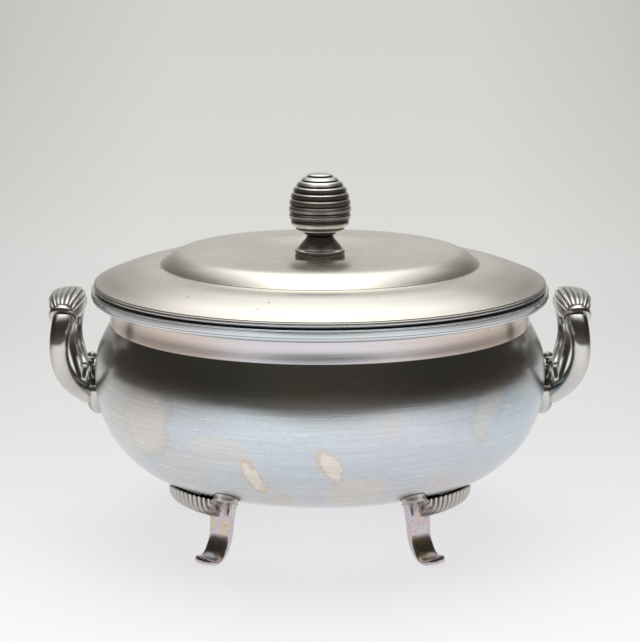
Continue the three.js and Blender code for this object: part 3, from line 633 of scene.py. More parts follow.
bezel_outer, bezel_base = MOUTH_RADIUS - 1.5, RIM_TOP - 12
bezel_inner = bezel_outer - 1.6
bezel_outline = [(bezel_inner, bezel_base), (bezel_outer, bezel_base),
                 (bezel_outer, under_lid(bezel_outer)), (bezel_inner, under_lid(bezel_inner))]
bezel = spun(rounded(bezel_outline, [0.5, 0.7, 0.02, 0.02]), 160)
finished("lid_bezel_ring", bezel, "lid", "lid_bezel", finish["band"])

# %% [markdown]
# ## The finial
# The knob is an egg of nine turned rings, each with an upright face, a sloping shoulder and a
# sharp groove under it, over a waisted foot. The outline says how dark each point is painted, and
# the finish darkens there: painted shade in the grooves, with some dirt.

# %% Finial egg
FINIAL_BASE = DISH_HEIGHT + SEAM
WAIST_HEIGHT, WAIST_RADIUS = FINIAL_BASE + 13.4, 9.2
EGG_BASE = WAIST_HEIGHT + SEAM
EGG_MIDDLE, EGG_RADIUS, EGG_RISE, EGG_DROP = EGG_BASE + 18.0, 21.3, 25.2, 18.0
RINGS, GROOVE, FACE_SHARE = 9, 1.5, 0.62


def egg_radius(height):
    reach, power = (EGG_RISE, 2.1) if height >= EGG_MIDDLE else (EGG_DROP, 2.6)
    share = clamp(abs(height - EGG_MIDDLE) / reach)
    return EGG_RADIUS * (1 - share ** power) ** (1 / power)


def bead_cut(t):
    """How deep a ring is cut, from its groove over an upright face to a sloping shoulder."""
    if t < FACE_SHARE:
        return 1 - smoothstep(0, 0.14, t)
    return ((t - FACE_SHARE) / (1 - FACE_SHARE)) ** 1.4


ring_top, ring_bottom = EGG_MIDDLE + EGG_RISE * 0.91, EGG_MIDDLE - EGG_DROP * 0.96
ring_edges = [mix(ring_top, ring_bottom, (1 - t) ** 1.235) for t in shares(RINGS)]
BORE_TOP, EGG_TOP = FINIAL_BASE + 30.3, EGG_MIDDLE + EGG_RISE
egg_line = [(0, BORE_TOP), (STUD_HOLE, BORE_TOP), (STUD_HOLE, EGG_BASE), (WAIST_RADIUS, EGG_BASE)]
# Painted shade, with some dirt, in each groove between the rings and under the cap.
egg_shade_and_dirt = [0.0, 0.0, 0.0, 0.6]
for low, high in zip(ring_edges, ring_edges[1:]):
    for t in shares(14)[:-1]:
        height = mix(low, high, t)
        egg_line.append((egg_radius(height) - GROOVE * bead_cut(t), height))
        egg_shade_and_dirt.append(max(1 - smoothstep(0.0, 0.2, t), 0.6 * smoothstep(0.85, 1.0, t)))
egg_line += from_corner(0, ring_top, [
    (8.2, 0), (8.85, 0.25), (8.7, 0.7), (7.9, 1.15), (6.4, 1.6), (4.4, 1.97)])
egg_line += [(2.2, EGG_TOP - 0.05), (0, EGG_TOP)]
egg_shade_and_dirt += shade_and_dirt_at(8, {0: 0.8, 1: 0.2})
egg = spun(egg_line, 128, egg_shade_and_dirt)
finished("ringed_egg", egg, "lid", "finial_egg", finish["finial"])

# %% Finial foot
FOOT_RADIUS = 17.2
foot_line = [(STUD_HOLE, FINIAL_BASE)]
foot_line += from_corner(FOOT_RADIUS, FINIAL_BASE, [
    (-0.4, 0), (0, 0.5), (0, 1.5), (-0.4, 1.85), (-0.95, 2.0), (-0.3, 2.2), (0, 2.6), (-0.05, 3.8),
    (-0.5, 4.3), (-1.5, 4.6), (-2.0, 5.1), (-3.0, 6.4), (-4.9, 8.8), (-6.8, 11.0)])
foot_line += from_corner(WAIST_RADIUS, WAIST_HEIGHT, [(0, -0.6), (-0.2, 0)])
foot_line.append((STUD_HOLE, WAIST_HEIGHT))
# The groove over the base and the flaring cone under the waist are painted darker: painted shade, with some
# dirt.
foot_shade_and_dirt = shade_and_dirt_at(len(foot_line), {5: 1.0, 11: 0.25, **dict.fromkeys(range(12, 17), 0.55)})
pedestal = spun(foot_line, 128, foot_shade_and_dirt)
finished("finial_pedestal", pedestal, "lid", "finial_foot", finish["finial"])

# %% [markdown]
# ## Stud, washer and nut
# These are hidden when the lid is on. A brass stud comes down from the finial through the lid,
# and a nut on a washer draws it tight. They show from below once the lid is lifted.

# %% Stud
STUD_RADIUS, THREADS, PITCH = 2.5, 9, 0.8
stud_bottom, stud_top = DISH_HEIGHT - LID_WALL - 9, FINIAL_BASE + 30
stud_line = [(0, stud_bottom), (1.6, stud_bottom), (2.1, stud_bottom + 0.5)]
for thread in range(THREADS):
    valley = stud_bottom + 0.7 + thread * PITCH
    stud_line += [(2.12, valley), (STUD_RADIUS, valley + PITCH / 2)]
stud_line += [(STUD_RADIUS, stud_top - 0.4), (2.1, stud_top), (0, stud_top)]
stud = spun(stud_line, 40)
finished("finial_threaded_stud", stud, "lid", "finial_stud", finish["brass"], 50)

# %% Washer
WASHER_RADIUS, washer_top = 9, DISH_HEIGHT - LID_WALL - SEAM
washer_base = washer_top - 1.4
washer_line = [(STUD_HOLE, washer_base), (WASHER_RADIUS, washer_base),
               (WASHER_RADIUS, washer_top), (STUD_HOLE, washer_top)]
washer = spun(rounded(washer_line, 0.3), 72)
finished("finial_flat_washer", washer, "lid", "finial_washer", finish["brass"])

# %% Nut
NUT_RADIUS, NUT_HEIGHT = 5.2, 4.5
nut_base = washer_base - SEAM - NUT_HEIGHT
nut = bmesh.new()
bmesh.ops.create_circle(nut, radius=NUT_RADIUS, segments=6)
bmesh.ops.subdivide_edges(nut, edges=list(nut.edges), cuts=3)
hexagon = list(nut.edges)
bmesh.ops.create_circle(nut, radius=STUD_HOLE, segments=24)
bore = [edge for edge in nut.edges if edge not in set(hexagon)]
nut_faces = bmesh.ops.bridge_loops(nut, edges=hexagon + bore)["faces"]
raised = bmesh.ops.extrude_face_region(nut, geom=nut_faces)["geom"]
bmesh.ops.translate(nut, vec=(0, 0, NUT_HEIGHT), verts=verts_in(raised))
outer_edges = [e for e in nut.edges if e.is_manifold and e.calc_face_angle(0.0) > 1.0
               and e.verts[0].co.xy.length > (STUD_HOLE + NUT_RADIUS) / 2]
bmesh.ops.bevel(nut, geom=outer_edges, offset=0.35, segments=2, profile=0.5, affect="EDGES", material=-1)
bmesh.ops.translate(nut, vec=(0, 0, nut_base), verts=nut.verts)
finished("finial_hexagon_nut", nut, "lid", "finial_nut", finish["brass"])

# %% [markdown]
# ## Handles
# Each handle was cast as one loop: two arms rise from a leaf on the bowl, lean outwards and meet
# over the top in a fluted grip, with a collar at each end of it. The line of the loop is drawn
# first. Then the grip, collars and arms are drawn along their own stretches of it.

# %% The loop's line
LOOP_REACH, LOOP_HALF_WIDTH = 20.9, 38.2
LOOP_TOP = RIM_TOP - 12.6
LOOP_BOTTOM = LOOP_TOP - 64
LOOP_SHARES = [
    (0.876, 0, 1), (0.876, 0.39, 0.994), (0.88, 0.65, 0.967), (0.895, 0.82, 0.9), (0.943, 0.95, 0.797),
    (0.986, 1, 0.688), (1, 1, 0.602), (0.971, 0.979, 0.484), (0.9, 0.929, 0.381), (0.775, 0.817, 0.273),
    (0.608, 0.597, 0.161), (0.416, 0.34, 0.066), (0.268, 0.157, 0), (0.2, 0.02, -0.03),
]
rear_points = [(BOWL_RADIUS + out * LOOP_REACH, aside * LOOP_HALF_WIDTH, mix(LOOP_BOTTOM, LOOP_TOP, rise))
               for out, aside, rise in LOOP_SHARES]
front_points = [(x, -y, z) for x, y, z in reversed(rear_points[1:])]
loop_line = spline(front_points + rear_points, 16)
loop_lengths = [0.0]
for a, b in zip(loop_line, loop_line[1:]):
    loop_lengths.append(loop_lengths[-1] + (b - a).length)
half_loop = loop_lengths[-1] / 2


def on_loop(distance):
    """The point and direction at a distance from the middle of the grip, and two sideways directions."""
    wanted = clamp(half_loop + distance, 0.0, loop_lengths[-1] - 1e-6)
    index = next(i for i, length in enumerate(loop_lengths) if length > wanted)
    share = (wanted - loop_lengths[index - 1]) / (loop_lengths[index] - loop_lengths[index - 1])
    near, far = loop_line[index - 1], loop_line[index]
    ahead = (loop_line[min(index + 1, len(loop_line) - 1)] - loop_line[max(index - 2, 0)]).normalized()
    across = (Vector((1, 0, 0)) - ahead * ahead.x).normalized()
    return near.lerp(far, share), ahead, across, ahead.cross(across)


def ring_point(distance, turn, wide, deep):
    centre, _, across, beside = on_loop(distance)
    return centre + across * wide * math.cos(turn * math.tau) + beside * deep * math.sin(turn * math.tau)


print("loop length", round(half_loop * 2, 1), "mm")

# %% [markdown]
# The grip swells from each collar to a fluted roll. Each flute is a sharp groove between two
# round ribs, so the radius follows a bump that is repeated round the ring.

# %% Grip of one handle
GRIP_HALF, GRIP_RADIUS, GRIP_END, FLUTES, FLUTE_DEPTH = 27.0, 11.3, 7.9, 18, 1.7
GRIP_SQUARENESS, GRIP_FLATNESS, GRIP_TWIST = 4.4, 0.84, 0.02
COLLAR_START, COLLAR_THICKNESS, COLLAR_RADIUS = 27.2, 3.8, 9.4
ARM_START = COLLAR_START + COLLAR_THICKNESS + 0.3
ROOT_BURIED = 7.5


def grip_swell(distance):
    return 1 - abs(distance / GRIP_HALF) ** 2.4


def flute(turn):
    """0 on a rib's crest, 1 at the bottom of a groove."""
    place = abs((turn * FLUTES) % 1 - 0.5) * 2
    return smoothstep(0.35, 1.0, place) ** 1.3


def grip_place(distance, turn):
    """The lower half of the ring is round, and the upper half is squarer and flatter."""
    swell = grip_swell(distance)
    ends = smoothstep(0, 0.06, 1 - abs(distance / GRIP_HALF))
    corner, flat = 1.0, 1.0
    if turn > 0.5:
        cosine, sine = abs(math.cos(turn * math.tau)), abs(math.sin(turn * math.tau))
        corner = (cosine ** GRIP_SQUARENESS + sine ** GRIP_SQUARENESS) ** (-1 / GRIP_SQUARENESS)
        flat = mix(1.0, GRIP_FLATNESS, swell)
    radius = mix(GRIP_END, GRIP_RADIUS, swell) * mix(1.0, corner, swell) - 0.7 * (1 - ends)
    radius -= flute(turn) * FLUTE_DEPTH * mix(0.5, 1.0, swell)
    return ring_point(distance, turn + GRIP_TWIST * swell, radius * mix(1, 1.05, swell), radius * flat)


# The grooves between the flutes are darkened: painted shade, with some dirt.
def grip_shade_and_dirt(_, turn):
    return 0.85 * flute(turn) ** 1.5


# %% Collars
def collar_place(side):
    def place(share, turn):
        groove = 0.5 * math.exp(-((share - 0.35) / 0.09) ** 2)
        radius = COLLAR_RADIUS - 1.1 * abs(share * 2 - 1) ** 3 - groove
        return ring_point(side * (COLLAR_START + share * COLLAR_THICKNESS), turn, radius, radius)
    return place


# %% Arms
ARM_SECTION = [
    (6.3, 0.3), (5.6, 3.6), (3.2, 5.7), (0, 6.3), (-3.2, 6.0), (-5.6, 5.1), (-6.8, 4.4), (-7.2, 3.7),
    (-7.7, 1.2), (-7.9, -1.6), (-6.8, -4.3), (-3.6, -5.7), (0, -6.0), (3.4, -5.2), (5.7, -3.0),
]
ARM_STEPS = 4
arm_ring = spline([*ARM_SECTION[-2:], *ARM_SECTION, *ARM_SECTION[:3]], ARM_STEPS)
arm_ring = arm_ring[2 * ARM_STEPS:(2 + len(ARM_SECTION)) * ARM_STEPS]


def arm_place(side):
    """An arm is broad and gently round in front. A ridge parts that from the flat inner face."""
    def place(share, turn):
        size = mix(0.99, 0.86, smoothstep(0, 0.35, share)) + 0.05 * smoothstep(0.75, 1, share)
        away, front = arm_ring[round(turn * len(arm_ring)) % len(arm_ring)] * size
        centre, _, across, beside = on_loop(side * mix(ARM_START, half_loop - ROOT_BURIED, share))
        return centre + across * away - beside * front
    return place


grip_stations = [GRIP_HALF * math.sin(mix(-1, 1, t) * math.pi / 2) for t in shares(44)]
collar_stations = shares(10)
arm_stations = shares(70)
print("grip stations:", len(grip_stations), "flutes:", FLUTES)

# %% [markdown]
# The leaf that carries the arms has a rounded, three-lobed tip and a rib down its middle. Over
# it stands a bud: a bell with small petals, a thin neck and a ball.

# %% Root leaf
ROOT_TOP, ROOT_LENGTH, ROOT_HALF_WIDTH, ROOT_THICKNESS = 103.5, 22.0, 16.5, 8.6
ROOT_EDGE_SUNK, ROOT_BACK_SUNK = 0.8, 1.2
ROOT_SHARES = [(-0.03, 0.7, 0.75), (0, 0.9, 0.92), (0.12, 1, 1), (0.45, 0.98, 0.98), (0.7, 0.88, 0.88),
               (0.86, 0.7, 0.72), (0.96, 0.45, 0.5), (1.0, 0.2, 0.25)]
root_line = spline(ROOT_SHARES, 6)


def leaf_lobes(down, turn):
    """1 on the middle rib and on the two side lobes, 0 in the valleys between them."""
    side = (turn - 0.25) * 4
    return mix(1, 0.5 + 0.5 * math.cos(side * math.pi * 2.4), smoothstep(0.1, 0.5, down))


def root_place(station, turn):
    """In front of the bowl the leaf bulges, and behind it follows the bowl, just inside its wall."""
    down, out, aside = station
    height = ROOT_TOP - down * ROOT_LENGTH
    y = math.sin((turn - 0.25) * math.tau) * ROOT_HALF_WIDTH * aside
    shape = abs(math.cos((turn - 0.25) * math.tau)) ** 0.5
    wall = math.sqrt(bowl_radius(height) ** 2 - y * y)
    if turn > 0.5:
        return Vector((wall - ROOT_BACK_SUNK, y, height))
    bulge = out * ROOT_THICKNESS * mix(0.84, 1.0, leaf_lobes(down, turn))
    reach = bulge + BOWL_RADIUS - bowl_radius(height)
    return Vector((wall - ROOT_EDGE_SUNK + reach * shape, y, height))


# The valleys between the lobes are darkened: painted shade, with some dirt.
def root_shade_and_dirt(station, turn):
    return (1 - leaf_lobes(station[0], turn)) * 0.75 if turn <= 0.5 else 0.0


print("leaf rings:", len(root_line))

# %% Bud
BUD_HEIGHT, BUD_RADIUS, BUD_LEAN = 23.0, 5.4, math.radians(9)
BUD_SHARES = [
    (0, 0), (0.9, 0.0), (1.02, 0.03), (1.05, 0.07), (0.92, 0.11), (0.99, 0.15), (1.0, 0.22),
    (0.96, 0.3), (0.9, 0.38), (0.83, 0.45), (0.78, 0.51), (0.8, 0.56), (0.84, 0.6), (0.78, 0.635),
    (0.6, 0.65), (0.44, 0.665), (0.38, 0.7), (0.38, 0.75), (0.44, 0.79), (0.56, 0.82), (0.62, 0.87),
    (0.6, 0.92), (0.46, 0.97), (0.24, 0.995), (0, 1),
]
bud_line = [(out * BUD_RADIUS, rise * BUD_HEIGHT) for out, rise in BUD_SHARES]
# The grooves at the foot and waist of the bell and round the neck are darkened: painted shade, with some
# dirt.
bud_shade_and_dirt = shade_and_dirt_at(len(bud_line), {4: 0.6, 10: 0.3, 15: 0.6, 16: 0.6, 17: 0.3})


def with_petals(bm):
    """Four petals are pushed out of the bell, less on the side of the bowl."""
    for vert in bm.verts:
        rise, angle = vert.co.z / BUD_HEIGHT, math.atan2(vert.co.y, vert.co.x)
        zone = smoothstep(0.26, 0.5, rise) * smoothstep(0.68, 0.56, rise)
        petal = (0.5 + 0.5 * math.cos(4 * angle)) ** 1.4 * (0.35 if abs(angle) > 2.4 else 1.0)
        stretch = 1 + zone * (0.85 * petal - 0.14)
        vert.co.x *= stretch
        vert.co.y *= stretch
        vert.co.z += 1.8 * zone * petal
    return bm


print("bud points:", len(bud_line))

# %% [markdown]
# The right-hand handle is made in place. The left-hand one is the same loop turned half way round
# the bowl's axis, so its front and rear parts change sides.

# %% Both handles
HAND_TURNS = {"right": Matrix.Identity(3), "left": Matrix.Rotation(math.pi, 3, "Z")}
BUD_FOOT = Vector((BOWL_RADIUS + BUD_RADIUS + 0.7, 0, ROOT_TOP - 2.7 + math.sin(BUD_LEAN) * BUD_RADIUS))


def turned_about(bm, matrix):
    bmesh.ops.rotate(bm, cent=(0, 0, 0), matrix=matrix, verts=bm.verts)
    return bm


def cast(hand, part, bm, node, sharp=SMOOTH_ANGLE):
    """Turns a piece of a handle to its side of the bowl and finishes it."""
    turned_about(bm, HAND_TURNS[hand])
    node_name = f"handle_{hand}_{node}"
    finished(f"{hand}_{part}", bm, "tureen", node_name, finish["cast"], sharp)


for hand in HAND_TURNS:
    cast(hand, "grip", drawn(grip_stations, grip_place, FLUTES * 10, grip_shade_and_dirt), "grip")
    for end, side in (("front", -1), ("rear", 1)):
        own_side = side if hand == "right" else -side
        collar = drawn(collar_stations, collar_place(own_side), 48)
        cast(hand, f"{end}_collar", collar, f"{end}_collar")
        arm = drawn(arm_stations, arm_place(own_side), len(arm_ring))
        cast(hand, f"{end}_arm", arm, f"{end}_arm", 50)
    cast(hand, "leaf", drawn(root_line, root_place, 64, root_shade_and_dirt), "root_leaf")
    bud = turned_about(with_petals(spun(bud_line, 48, bud_shade_and_dirt)), Matrix.Rotation(-BUD_LEAN, 3, "Y"))
    bmesh.ops.translate(bud, vec=BUD_FOOT, verts=bud.verts)
    cast(hand, "acorn", bud, "bud")

# %% [markdown]
# ## Feet
# A foot is a flat tongue of metal that comes down from the bowl, curls out along the table and
# turns up at the tip like a spoon. At the knee a shell of ribs is spread against the bowl.

# %% The leg's line
LEG_RADIUS, LEG_HALF_WIDTH, LEG_HALF_THICKNESS, TOE_REACH, TOE_SCOOP = 97.8, 8.7, 3.3, 21.2, 2.7
LEG_SHARES = [
    (0.02, 1.18, 1.5, 3), (-0.02, 0.98, 1.3, 2), (-0.04, 0.81, 1.16, 1.35), (-0.02, 0.64, 1.1, 1.1),
    (0.01, 0.48, 1.08, 1), (0.08, 0.345, 1.07, 0.97), (0.2, 0.225, 1.06, 0.93), (0.38, 0.125, 1.05, 0.9),
    (0.6, 0.085, 1.04, 0.86), (0.8, 0.115, 1.02, 0.86), (0.92, 0.14, 1, 0.84), (0.98, 0.155, 1, 0.8),
    (1, 0.16, 1, 0.8),
]
LEG_STEPS = 8
leg_path = spline([(LEG_RADIUS + out * TOE_REACH, 0, height * BOWL_UNDERSIDE)
                   for out, height, _, _ in LEG_SHARES], LEG_STEPS)
leg_sizes = [(mix(near[2], far[2], t), mix(near[3], far[3], t))
             for near, far in zip(LEG_SHARES, LEG_SHARES[1:]) for t in shares(LEG_STEPS)[:-1]]
leg_sizes.append(LEG_SHARES[-1][2:])
print("leg stations:", len(leg_path))

# %% The leg's section
TOE_START, TOE_FULL, TIP_SPARE, TIP_ROUNDING = 20.0, 11.0, 0.1, 2.4
BEAK_TOP, BEAK_LENGTH, BEAK_HALF_WIDTH, BEAK_RELIEF = 30.5, 8.0, 4.2, 1.3


def round_end(distance, reach):
    """The share of the full size at a distance from an end that is rounded over a reach."""
    return math.sqrt(max(1 - (1 - clamp(distance / reach)) ** 2, 0))


def signed_power(value, power):
    return math.copysign(abs(value) ** power, value)


def from_rim(to_end, across):
    """How far a point of the toe lies inside its rim."""
    return LEG_HALF_WIDTH - math.hypot(max(LEG_HALF_WIDTH - to_end, 0.0), across)


def on_beak(height, side, low, high):
    """1 on the pointed beak of the knee and 0 off it, with an edge from low to high millimetres."""
    down = clamp((BEAK_TOP - height) / BEAK_LENGTH)
    if not 0 < down < 1:
        return 0.0
    return smoothstep(low, high, BEAK_HALF_WIDTH * (1 - down) - abs(side) * LEG_HALF_WIDTH)


def leg_place(index, turn):
    """The back of the toe is round like a spoon's. Its inside is scooped, with an even rim all round."""
    centre = leg_path[index]
    ahead = (leg_path[min(index + 1, len(leg_path) - 1)] - leg_path[max(index - 1, 0)]).normalized()
    face = Vector((0, 1, 0)).cross(ahead)
    wide, thick = leg_sizes[index]
    lower_half = index > len(leg_path) // 2
    to_end = LEG_RADIUS + TOE_REACH - centre.x if lower_half else LEG_RADIUS
    toe = smoothstep(TOE_START, TOE_FULL, to_end)
    half_width = wide * LEG_HALF_WIDTH * round_end(to_end + TIP_SPARE, LEG_HALF_WIDTH)
    half_thick = thick * LEG_HALF_THICKNESS * round_end(to_end + TIP_SPARE, TIP_ROUNDING)
    cosine, sine = math.cos(turn * math.tau), math.sin(turn * math.tau)
    side = signed_power(cosine, mix(0.5, 0.8, toe))
    out = signed_power(sine, mix(0.7, 0.95, toe if sine < 0 else 0.0)) * half_thick
    if sine > 0:
        out -= toe * TOE_SCOOP * smoothstep(1.0, 4.2, from_rim(to_end, side * half_width))
        if not lower_half:
            out += BEAK_RELIEF * on_beak(centre.z, side, -0.1, 1.0)
    return centre + Vector((0, 1, 0)) * side * half_width + face * out


def leg_shade_and_dirt(index, turn):
    """Painted shade, with some dirt, in the toe's scoop and on the beak."""
    centre = leg_path[index]
    cosine = math.cos(turn * math.tau)
    if turn >= 0.5 or turn == 0:
        return 0.0
    if index > len(leg_path) // 2:
        to_end = LEG_RADIUS + TOE_REACH - centre.x
        half_width = LEG_HALF_WIDTH * round_end(to_end + TIP_SPARE, LEG_HALF_WIDTH)
        to_rim = from_rim(to_end, signed_power(cosine, 0.8) * half_width)
        return smoothstep(17.0, 12.0, to_end) * smoothstep(1.0, 2.2, to_rim)
    return 0.6 * on_beak(centre.z, abs(cosine) ** 0.5, -0.3, 0.6)


# %% The leg in its place
SOLE_FILED, LEG_IN_BOWL = 0.6, 0.8
leg_low = min(leg_place(i, t).z for i in range(len(leg_path)) for t in shares(48))
leg_drop = leg_low + SOLE_FILED
print("leg lowered by", round(leg_drop, 2), "mm so that its sole can be filed flat")


def leg_set(index, turn):
    """The leg in its place: filed flat on the table and fitted under the bowl."""
    point = leg_place(index, turn) - Vector((0, 0, leg_drop))
    ceiling = bowl_height(math.hypot(point.x, point.y)) + LEG_IN_BOWL
    return Vector((point.x, point.y, clamp(point.z, 0.0, ceiling)))


# %% [markdown]
# The shell is drawn row by row from the knee up to the bowl. Each row is an arc of ribs with a
# smooth end towards the middle of the tureen, and is closed flat behind. At the top the rows turn
# in over a ledge and run back down inside, which gives the shell its wall.

# %% The shell's rows
SHELL_HALF_WIDTH, SHELL_BASE, SHELL_RISE, SHELL_WALL, SHELL_LEDGE = 32.0, 29.0, 20.2, 1.8, 5.0
SHELL_SPREAD, SHELL_BULGE, SHELL_RIBS, RIB_DEPTH, TAB_REACH = 13.2, 10, 23, 1.9, 9.0


def ribbed_part(rise, turn_share):
    """1 on the ribbed side, 0 on the smooth side that runs into the leg. The border leans over the leg."""
    border = mix(0.52, 0.69, rise)
    return smoothstep(border + 0.05, border - 0.03, turn_share)


def shell_row(rise, ribbed=1.0):
    """Half width, distance of the flanks from the axis, bulge and height of a row."""
    spread = mix(rise ** 1.7, 1 - max(1 - rise, 0) ** 3.1, ribbed)
    half_width = mix(LEG_HALF_WIDTH, SHELL_HALF_WIDTH, spread)
    flank = LEG_RADIUS + 2 + SHELL_SPREAD * spread
    return half_width, flank, mix(1.0, SHELL_BULGE, spread), SHELL_BASE + SHELL_RISE * rise


def rib(rise, turn_share):
    """1 on a rib's crest and 0 in a groove. Towards the middle of the tureen the shell is smooth."""
    place = abs((turn_share * SHELL_RIBS) % 1 - 0.5) * 2
    fade = smoothstep(0.0, 0.03, turn_share) * ribbed_part(rise, turn_share)
    return 1 - fade * smoothstep(0.15, 0.95, place)


def shell_surface(rise, turn_share, inset):
    """A point of a row. Only the face without an inset has grooves. The smooth end has a tab on the bowl."""
    ribbed = ribbed_part(rise, turn_share)
    half, flank, bulge, height = shell_row(rise, ribbed)
    angle = (turn_share - 0.5) * math.pi
    groove = (1 - rib(rise, turn_share)) * RIB_DEPTH * mix(0.3, 1.0, half / SHELL_HALF_WIDTH)
    cut = inset or groove
    tab = smoothstep(0.62, 0.76, turn_share) * smoothstep(0.72, 1.0, rise)
    x = flank + TAB_REACH * tab + (bulge - cut) * math.cos(angle)
    y = (half + 0.8 * TAB_REACH * tab - cut) * math.sin(angle)
    at_rim = smoothstep(0.8, 1.0, rise)
    lower = at_rim * ribbed * (1.4 - 1.2 * rib(rise, turn_share))
    top = bowl_height(math.hypot(x, y)) - mix(0.4, 0.9, ribbed)
    return Vector((x, y, mix(min(height, top), top, tab) - lower))


# %% The shell's ring
SHELL_FACE = 0.75
SHELL_INSETS = {"out": 0.0, "lip": SHELL_WALL / 2, "ledge": SHELL_LEDGE, "in": SHELL_WALL}
shell_rows = shares(28)
shell_stations = [("out", rise) for rise in shell_rows] + [("lip", 1.0), ("ledge", 1.0)]
shell_stations += [("in", rise) for rise in reversed(shell_rows[5:-1])]


def shell_place(station, turn):
    """Three quarters of the ring are the ribbed face, and the rest closes it flat behind."""
    side, rise = station
    inset = SHELL_INSETS[side]
    _, flank, _, _ = shell_row(rise)
    if turn <= SHELL_FACE:
        return shell_surface(rise, turn / SHELL_FACE, inset)
    share = (turn - SHELL_FACE) / (1 - SHELL_FACE)
    point = shell_surface(rise, 1.0, inset).lerp(shell_surface(rise, 0.0, inset), share)
    arch = math.sin(share * math.pi)
    point.x = mix(point.x, flank - 6.0 + inset, arch ** 0.6)
    point.y *= mix(1.0, 0.8, arch)
    point.z = min(SHELL_BASE + SHELL_RISE * rise, bowl_height(math.hypot(point.x, point.y)) - 0.8)
    return point


# The grooves between the ribs, the lip and the inner wall are darkened: painted shade, with some dirt.
def shell_shade_and_dirt(station, turn):
    side, rise = station
    if side != "out":
        return 0.15 if side == "lip" else 0.4
    return (1 - rib(rise, turn / SHELL_FACE)) * 0.95 if turn <= SHELL_FACE else 0.0


print("shell stations:", len(shell_stations), "ribs round the whole arc:", SHELL_RIBS)

# %% [markdown]
# All four feet come from the same leg and shell, turned to their corners. Two shells are mirrored
# first, so that the smooth ends of a left and a right foot face each other.

# %% Four feet
FOOT_ANGLE = 48
FOOT_DEGREES = {"rear_right": FOOT_ANGLE, "rear_left": 180 - FOOT_ANGLE,
                "front_left": 180 + FOOT_ANGLE, "front_right": -FOOT_ANGLE}
MIRRORED_SHELLS = ("rear_left", "front_right")
for corner, degrees in FOOT_DEGREES.items():
    matrix = Matrix.Rotation(math.radians(degrees), 3, "Z")
    leg = turned_about(drawn(range(len(leg_path)), leg_set, 96, leg_shade_and_dirt), matrix)
    finished(f"{corner}_leg", leg, "tureen", f"foot_{corner}_leg", finish["leg"], 50)
    shell = drawn(shell_stations, shell_place, 360, shell_shade_and_dirt)
    if corner in MIRRORED_SHELLS:
        bmesh.ops.scale(shell, vec=(1, -1, 1), verts=shell.verts)
    turned_about(shell, matrix)
    finished(f"{corner}_shell", shell, "tureen", f"foot_{corner}_shell", finish["cast"], 60)

# %% [markdown]
# ## The studio
# The tureen stands on a white sweep: a floor that curves up into a backdrop, so that no horizon
# shows. It darkens as it rises, which is painted shade. Polished metal shows its surroundings more
# than its own colour, so the world matters as much as the floor: a large soft light overhead and a
# little behind, and a dark room in front, which draws the dark band round the shoulder of the bowl.

# %% Sweep of paper
PAPER_FRONT, PAPER_HALF_WIDTH, BEND_START, BEND_RADIUS = -1.35, 1.6, 1.2, 1.0
sweep_line = [(PAPER_FRONT + 0.05 * i, 0.0) for i in range(52)]
for angle in (i * math.pi / 36 for i in range(1, 19)):
    y, z = BEND_START + BEND_RADIUS * math.sin(angle), BEND_RADIUS - BEND_RADIUS * math.cos(angle)
    sweep_line.append((y, z))
sweep_line += [(BEND_START + BEND_RADIUS, BEND_RADIUS + 0.1 * i) for i in range(1, 9)]
sweep = bmesh.new()
length_layer = sweep.verts.layers.float.new("along")
row, travelled = [], PAPER_FRONT
for index, (y, z) in enumerate(sweep_line):
    vert = sweep.verts.new((-PAPER_HALF_WIDTH, y, z))
    travelled += math.dist(sweep_line[index], sweep_line[index - 1]) if index else 0.0
    vert[length_layer] = travelled
    row.append(vert)
sweep_edges = [sweep.edges.new(pair) for pair in zip(row, row[1:])]
wide = bmesh.ops.extrude_edge_only(sweep, edges=sweep_edges)["geom"]
bmesh.ops.translate(sweep, vec=(2 * PAPER_HALF_WIDTH, 0, 0), verts=verts_in(wide))
for face in sweep.faces:
    face.smooth = True
sweep.normal_update()
if next(iter(sweep.faces)).normal.z < 0:
    bmesh.ops.reverse_faces(sweep, faces=sweep.faces)
paper_finish = new_material("paper")
paper = to_object("sweep", sweep, paper_finish)
print("paper:", len(paper.data.polygons), "faces")

# %% [markdown]
# The paper's tone follows its own length, so that it fades evenly from the table up the backdrop,
# and it gets darker towards the sides and at its front edge: this fall of the light is painted shade
# in the paper's colour. Part of the tone glows, because the room is too dim to make the paper white.
# The camera looks through the back of the paper, as it does when it is below it.

# %% Finish of the paper
PAPER_SHARE, PAPER_COLOUR, PAPER_GLOW = 0.2, (0.44, 0.44, 0.44), 0.77
PAPER_TONES = [
    (-1.35, (0.30, 0.30, 0.30)), (-1.0, (0.52, 0.52, 0.53)), (-0.8, (0.84, 0.84, 0.85)),
    (-0.62, (1.05, 1.05, 1.06)), (-0.4, (1.05, 1.04, 1.06)), (-0.2, (0.945, 0.93, 0.96)),
    (-0.06, (0.88, 0.872, 0.89)), (0.08, (0.80, 0.795, 0.81)), (0.31, (0.755, 0.755, 0.755)),
    (0.70, (0.71, 0.71, 0.705)), (1.34, (0.73, 0.73, 0.715)), (1.75, (0.725, 0.725, 0.705)),
    (2.1, (0.715, 0.715, 0.695)), (2.9, (0.665, 0.665, 0.64)), (3.15, (0.75, 0.75, 0.73)),
    (3.57, (0.9, 0.89, 0.87)),
]
SIDE_TONES = [(0.15, 1.0), (0.3, 0.89), (0.48, 0.63), (0.66, 0.43), (0.96, 0.3)]
tree = paper_finish.node_tree
place = add(tree, "ShaderNodeTexCoord", out=3)
along = add(tree, "ShaderNodeAttribute", out=2, attribute_name="along")
aside = math_node(tree, "ABSOLUTE", add(tree, "ShaderNodeSeparateXYZ", {0: place}, out=0))
in_front = math_node(tree, "MULTIPLY", along, -1.0, capped=True)
squared = math_node(tree, "MULTIPLY", aside, aside)
later = math_node(tree, "MULTIPLY", squared, math_node(tree, "MULTIPLY", in_front, 0.7))
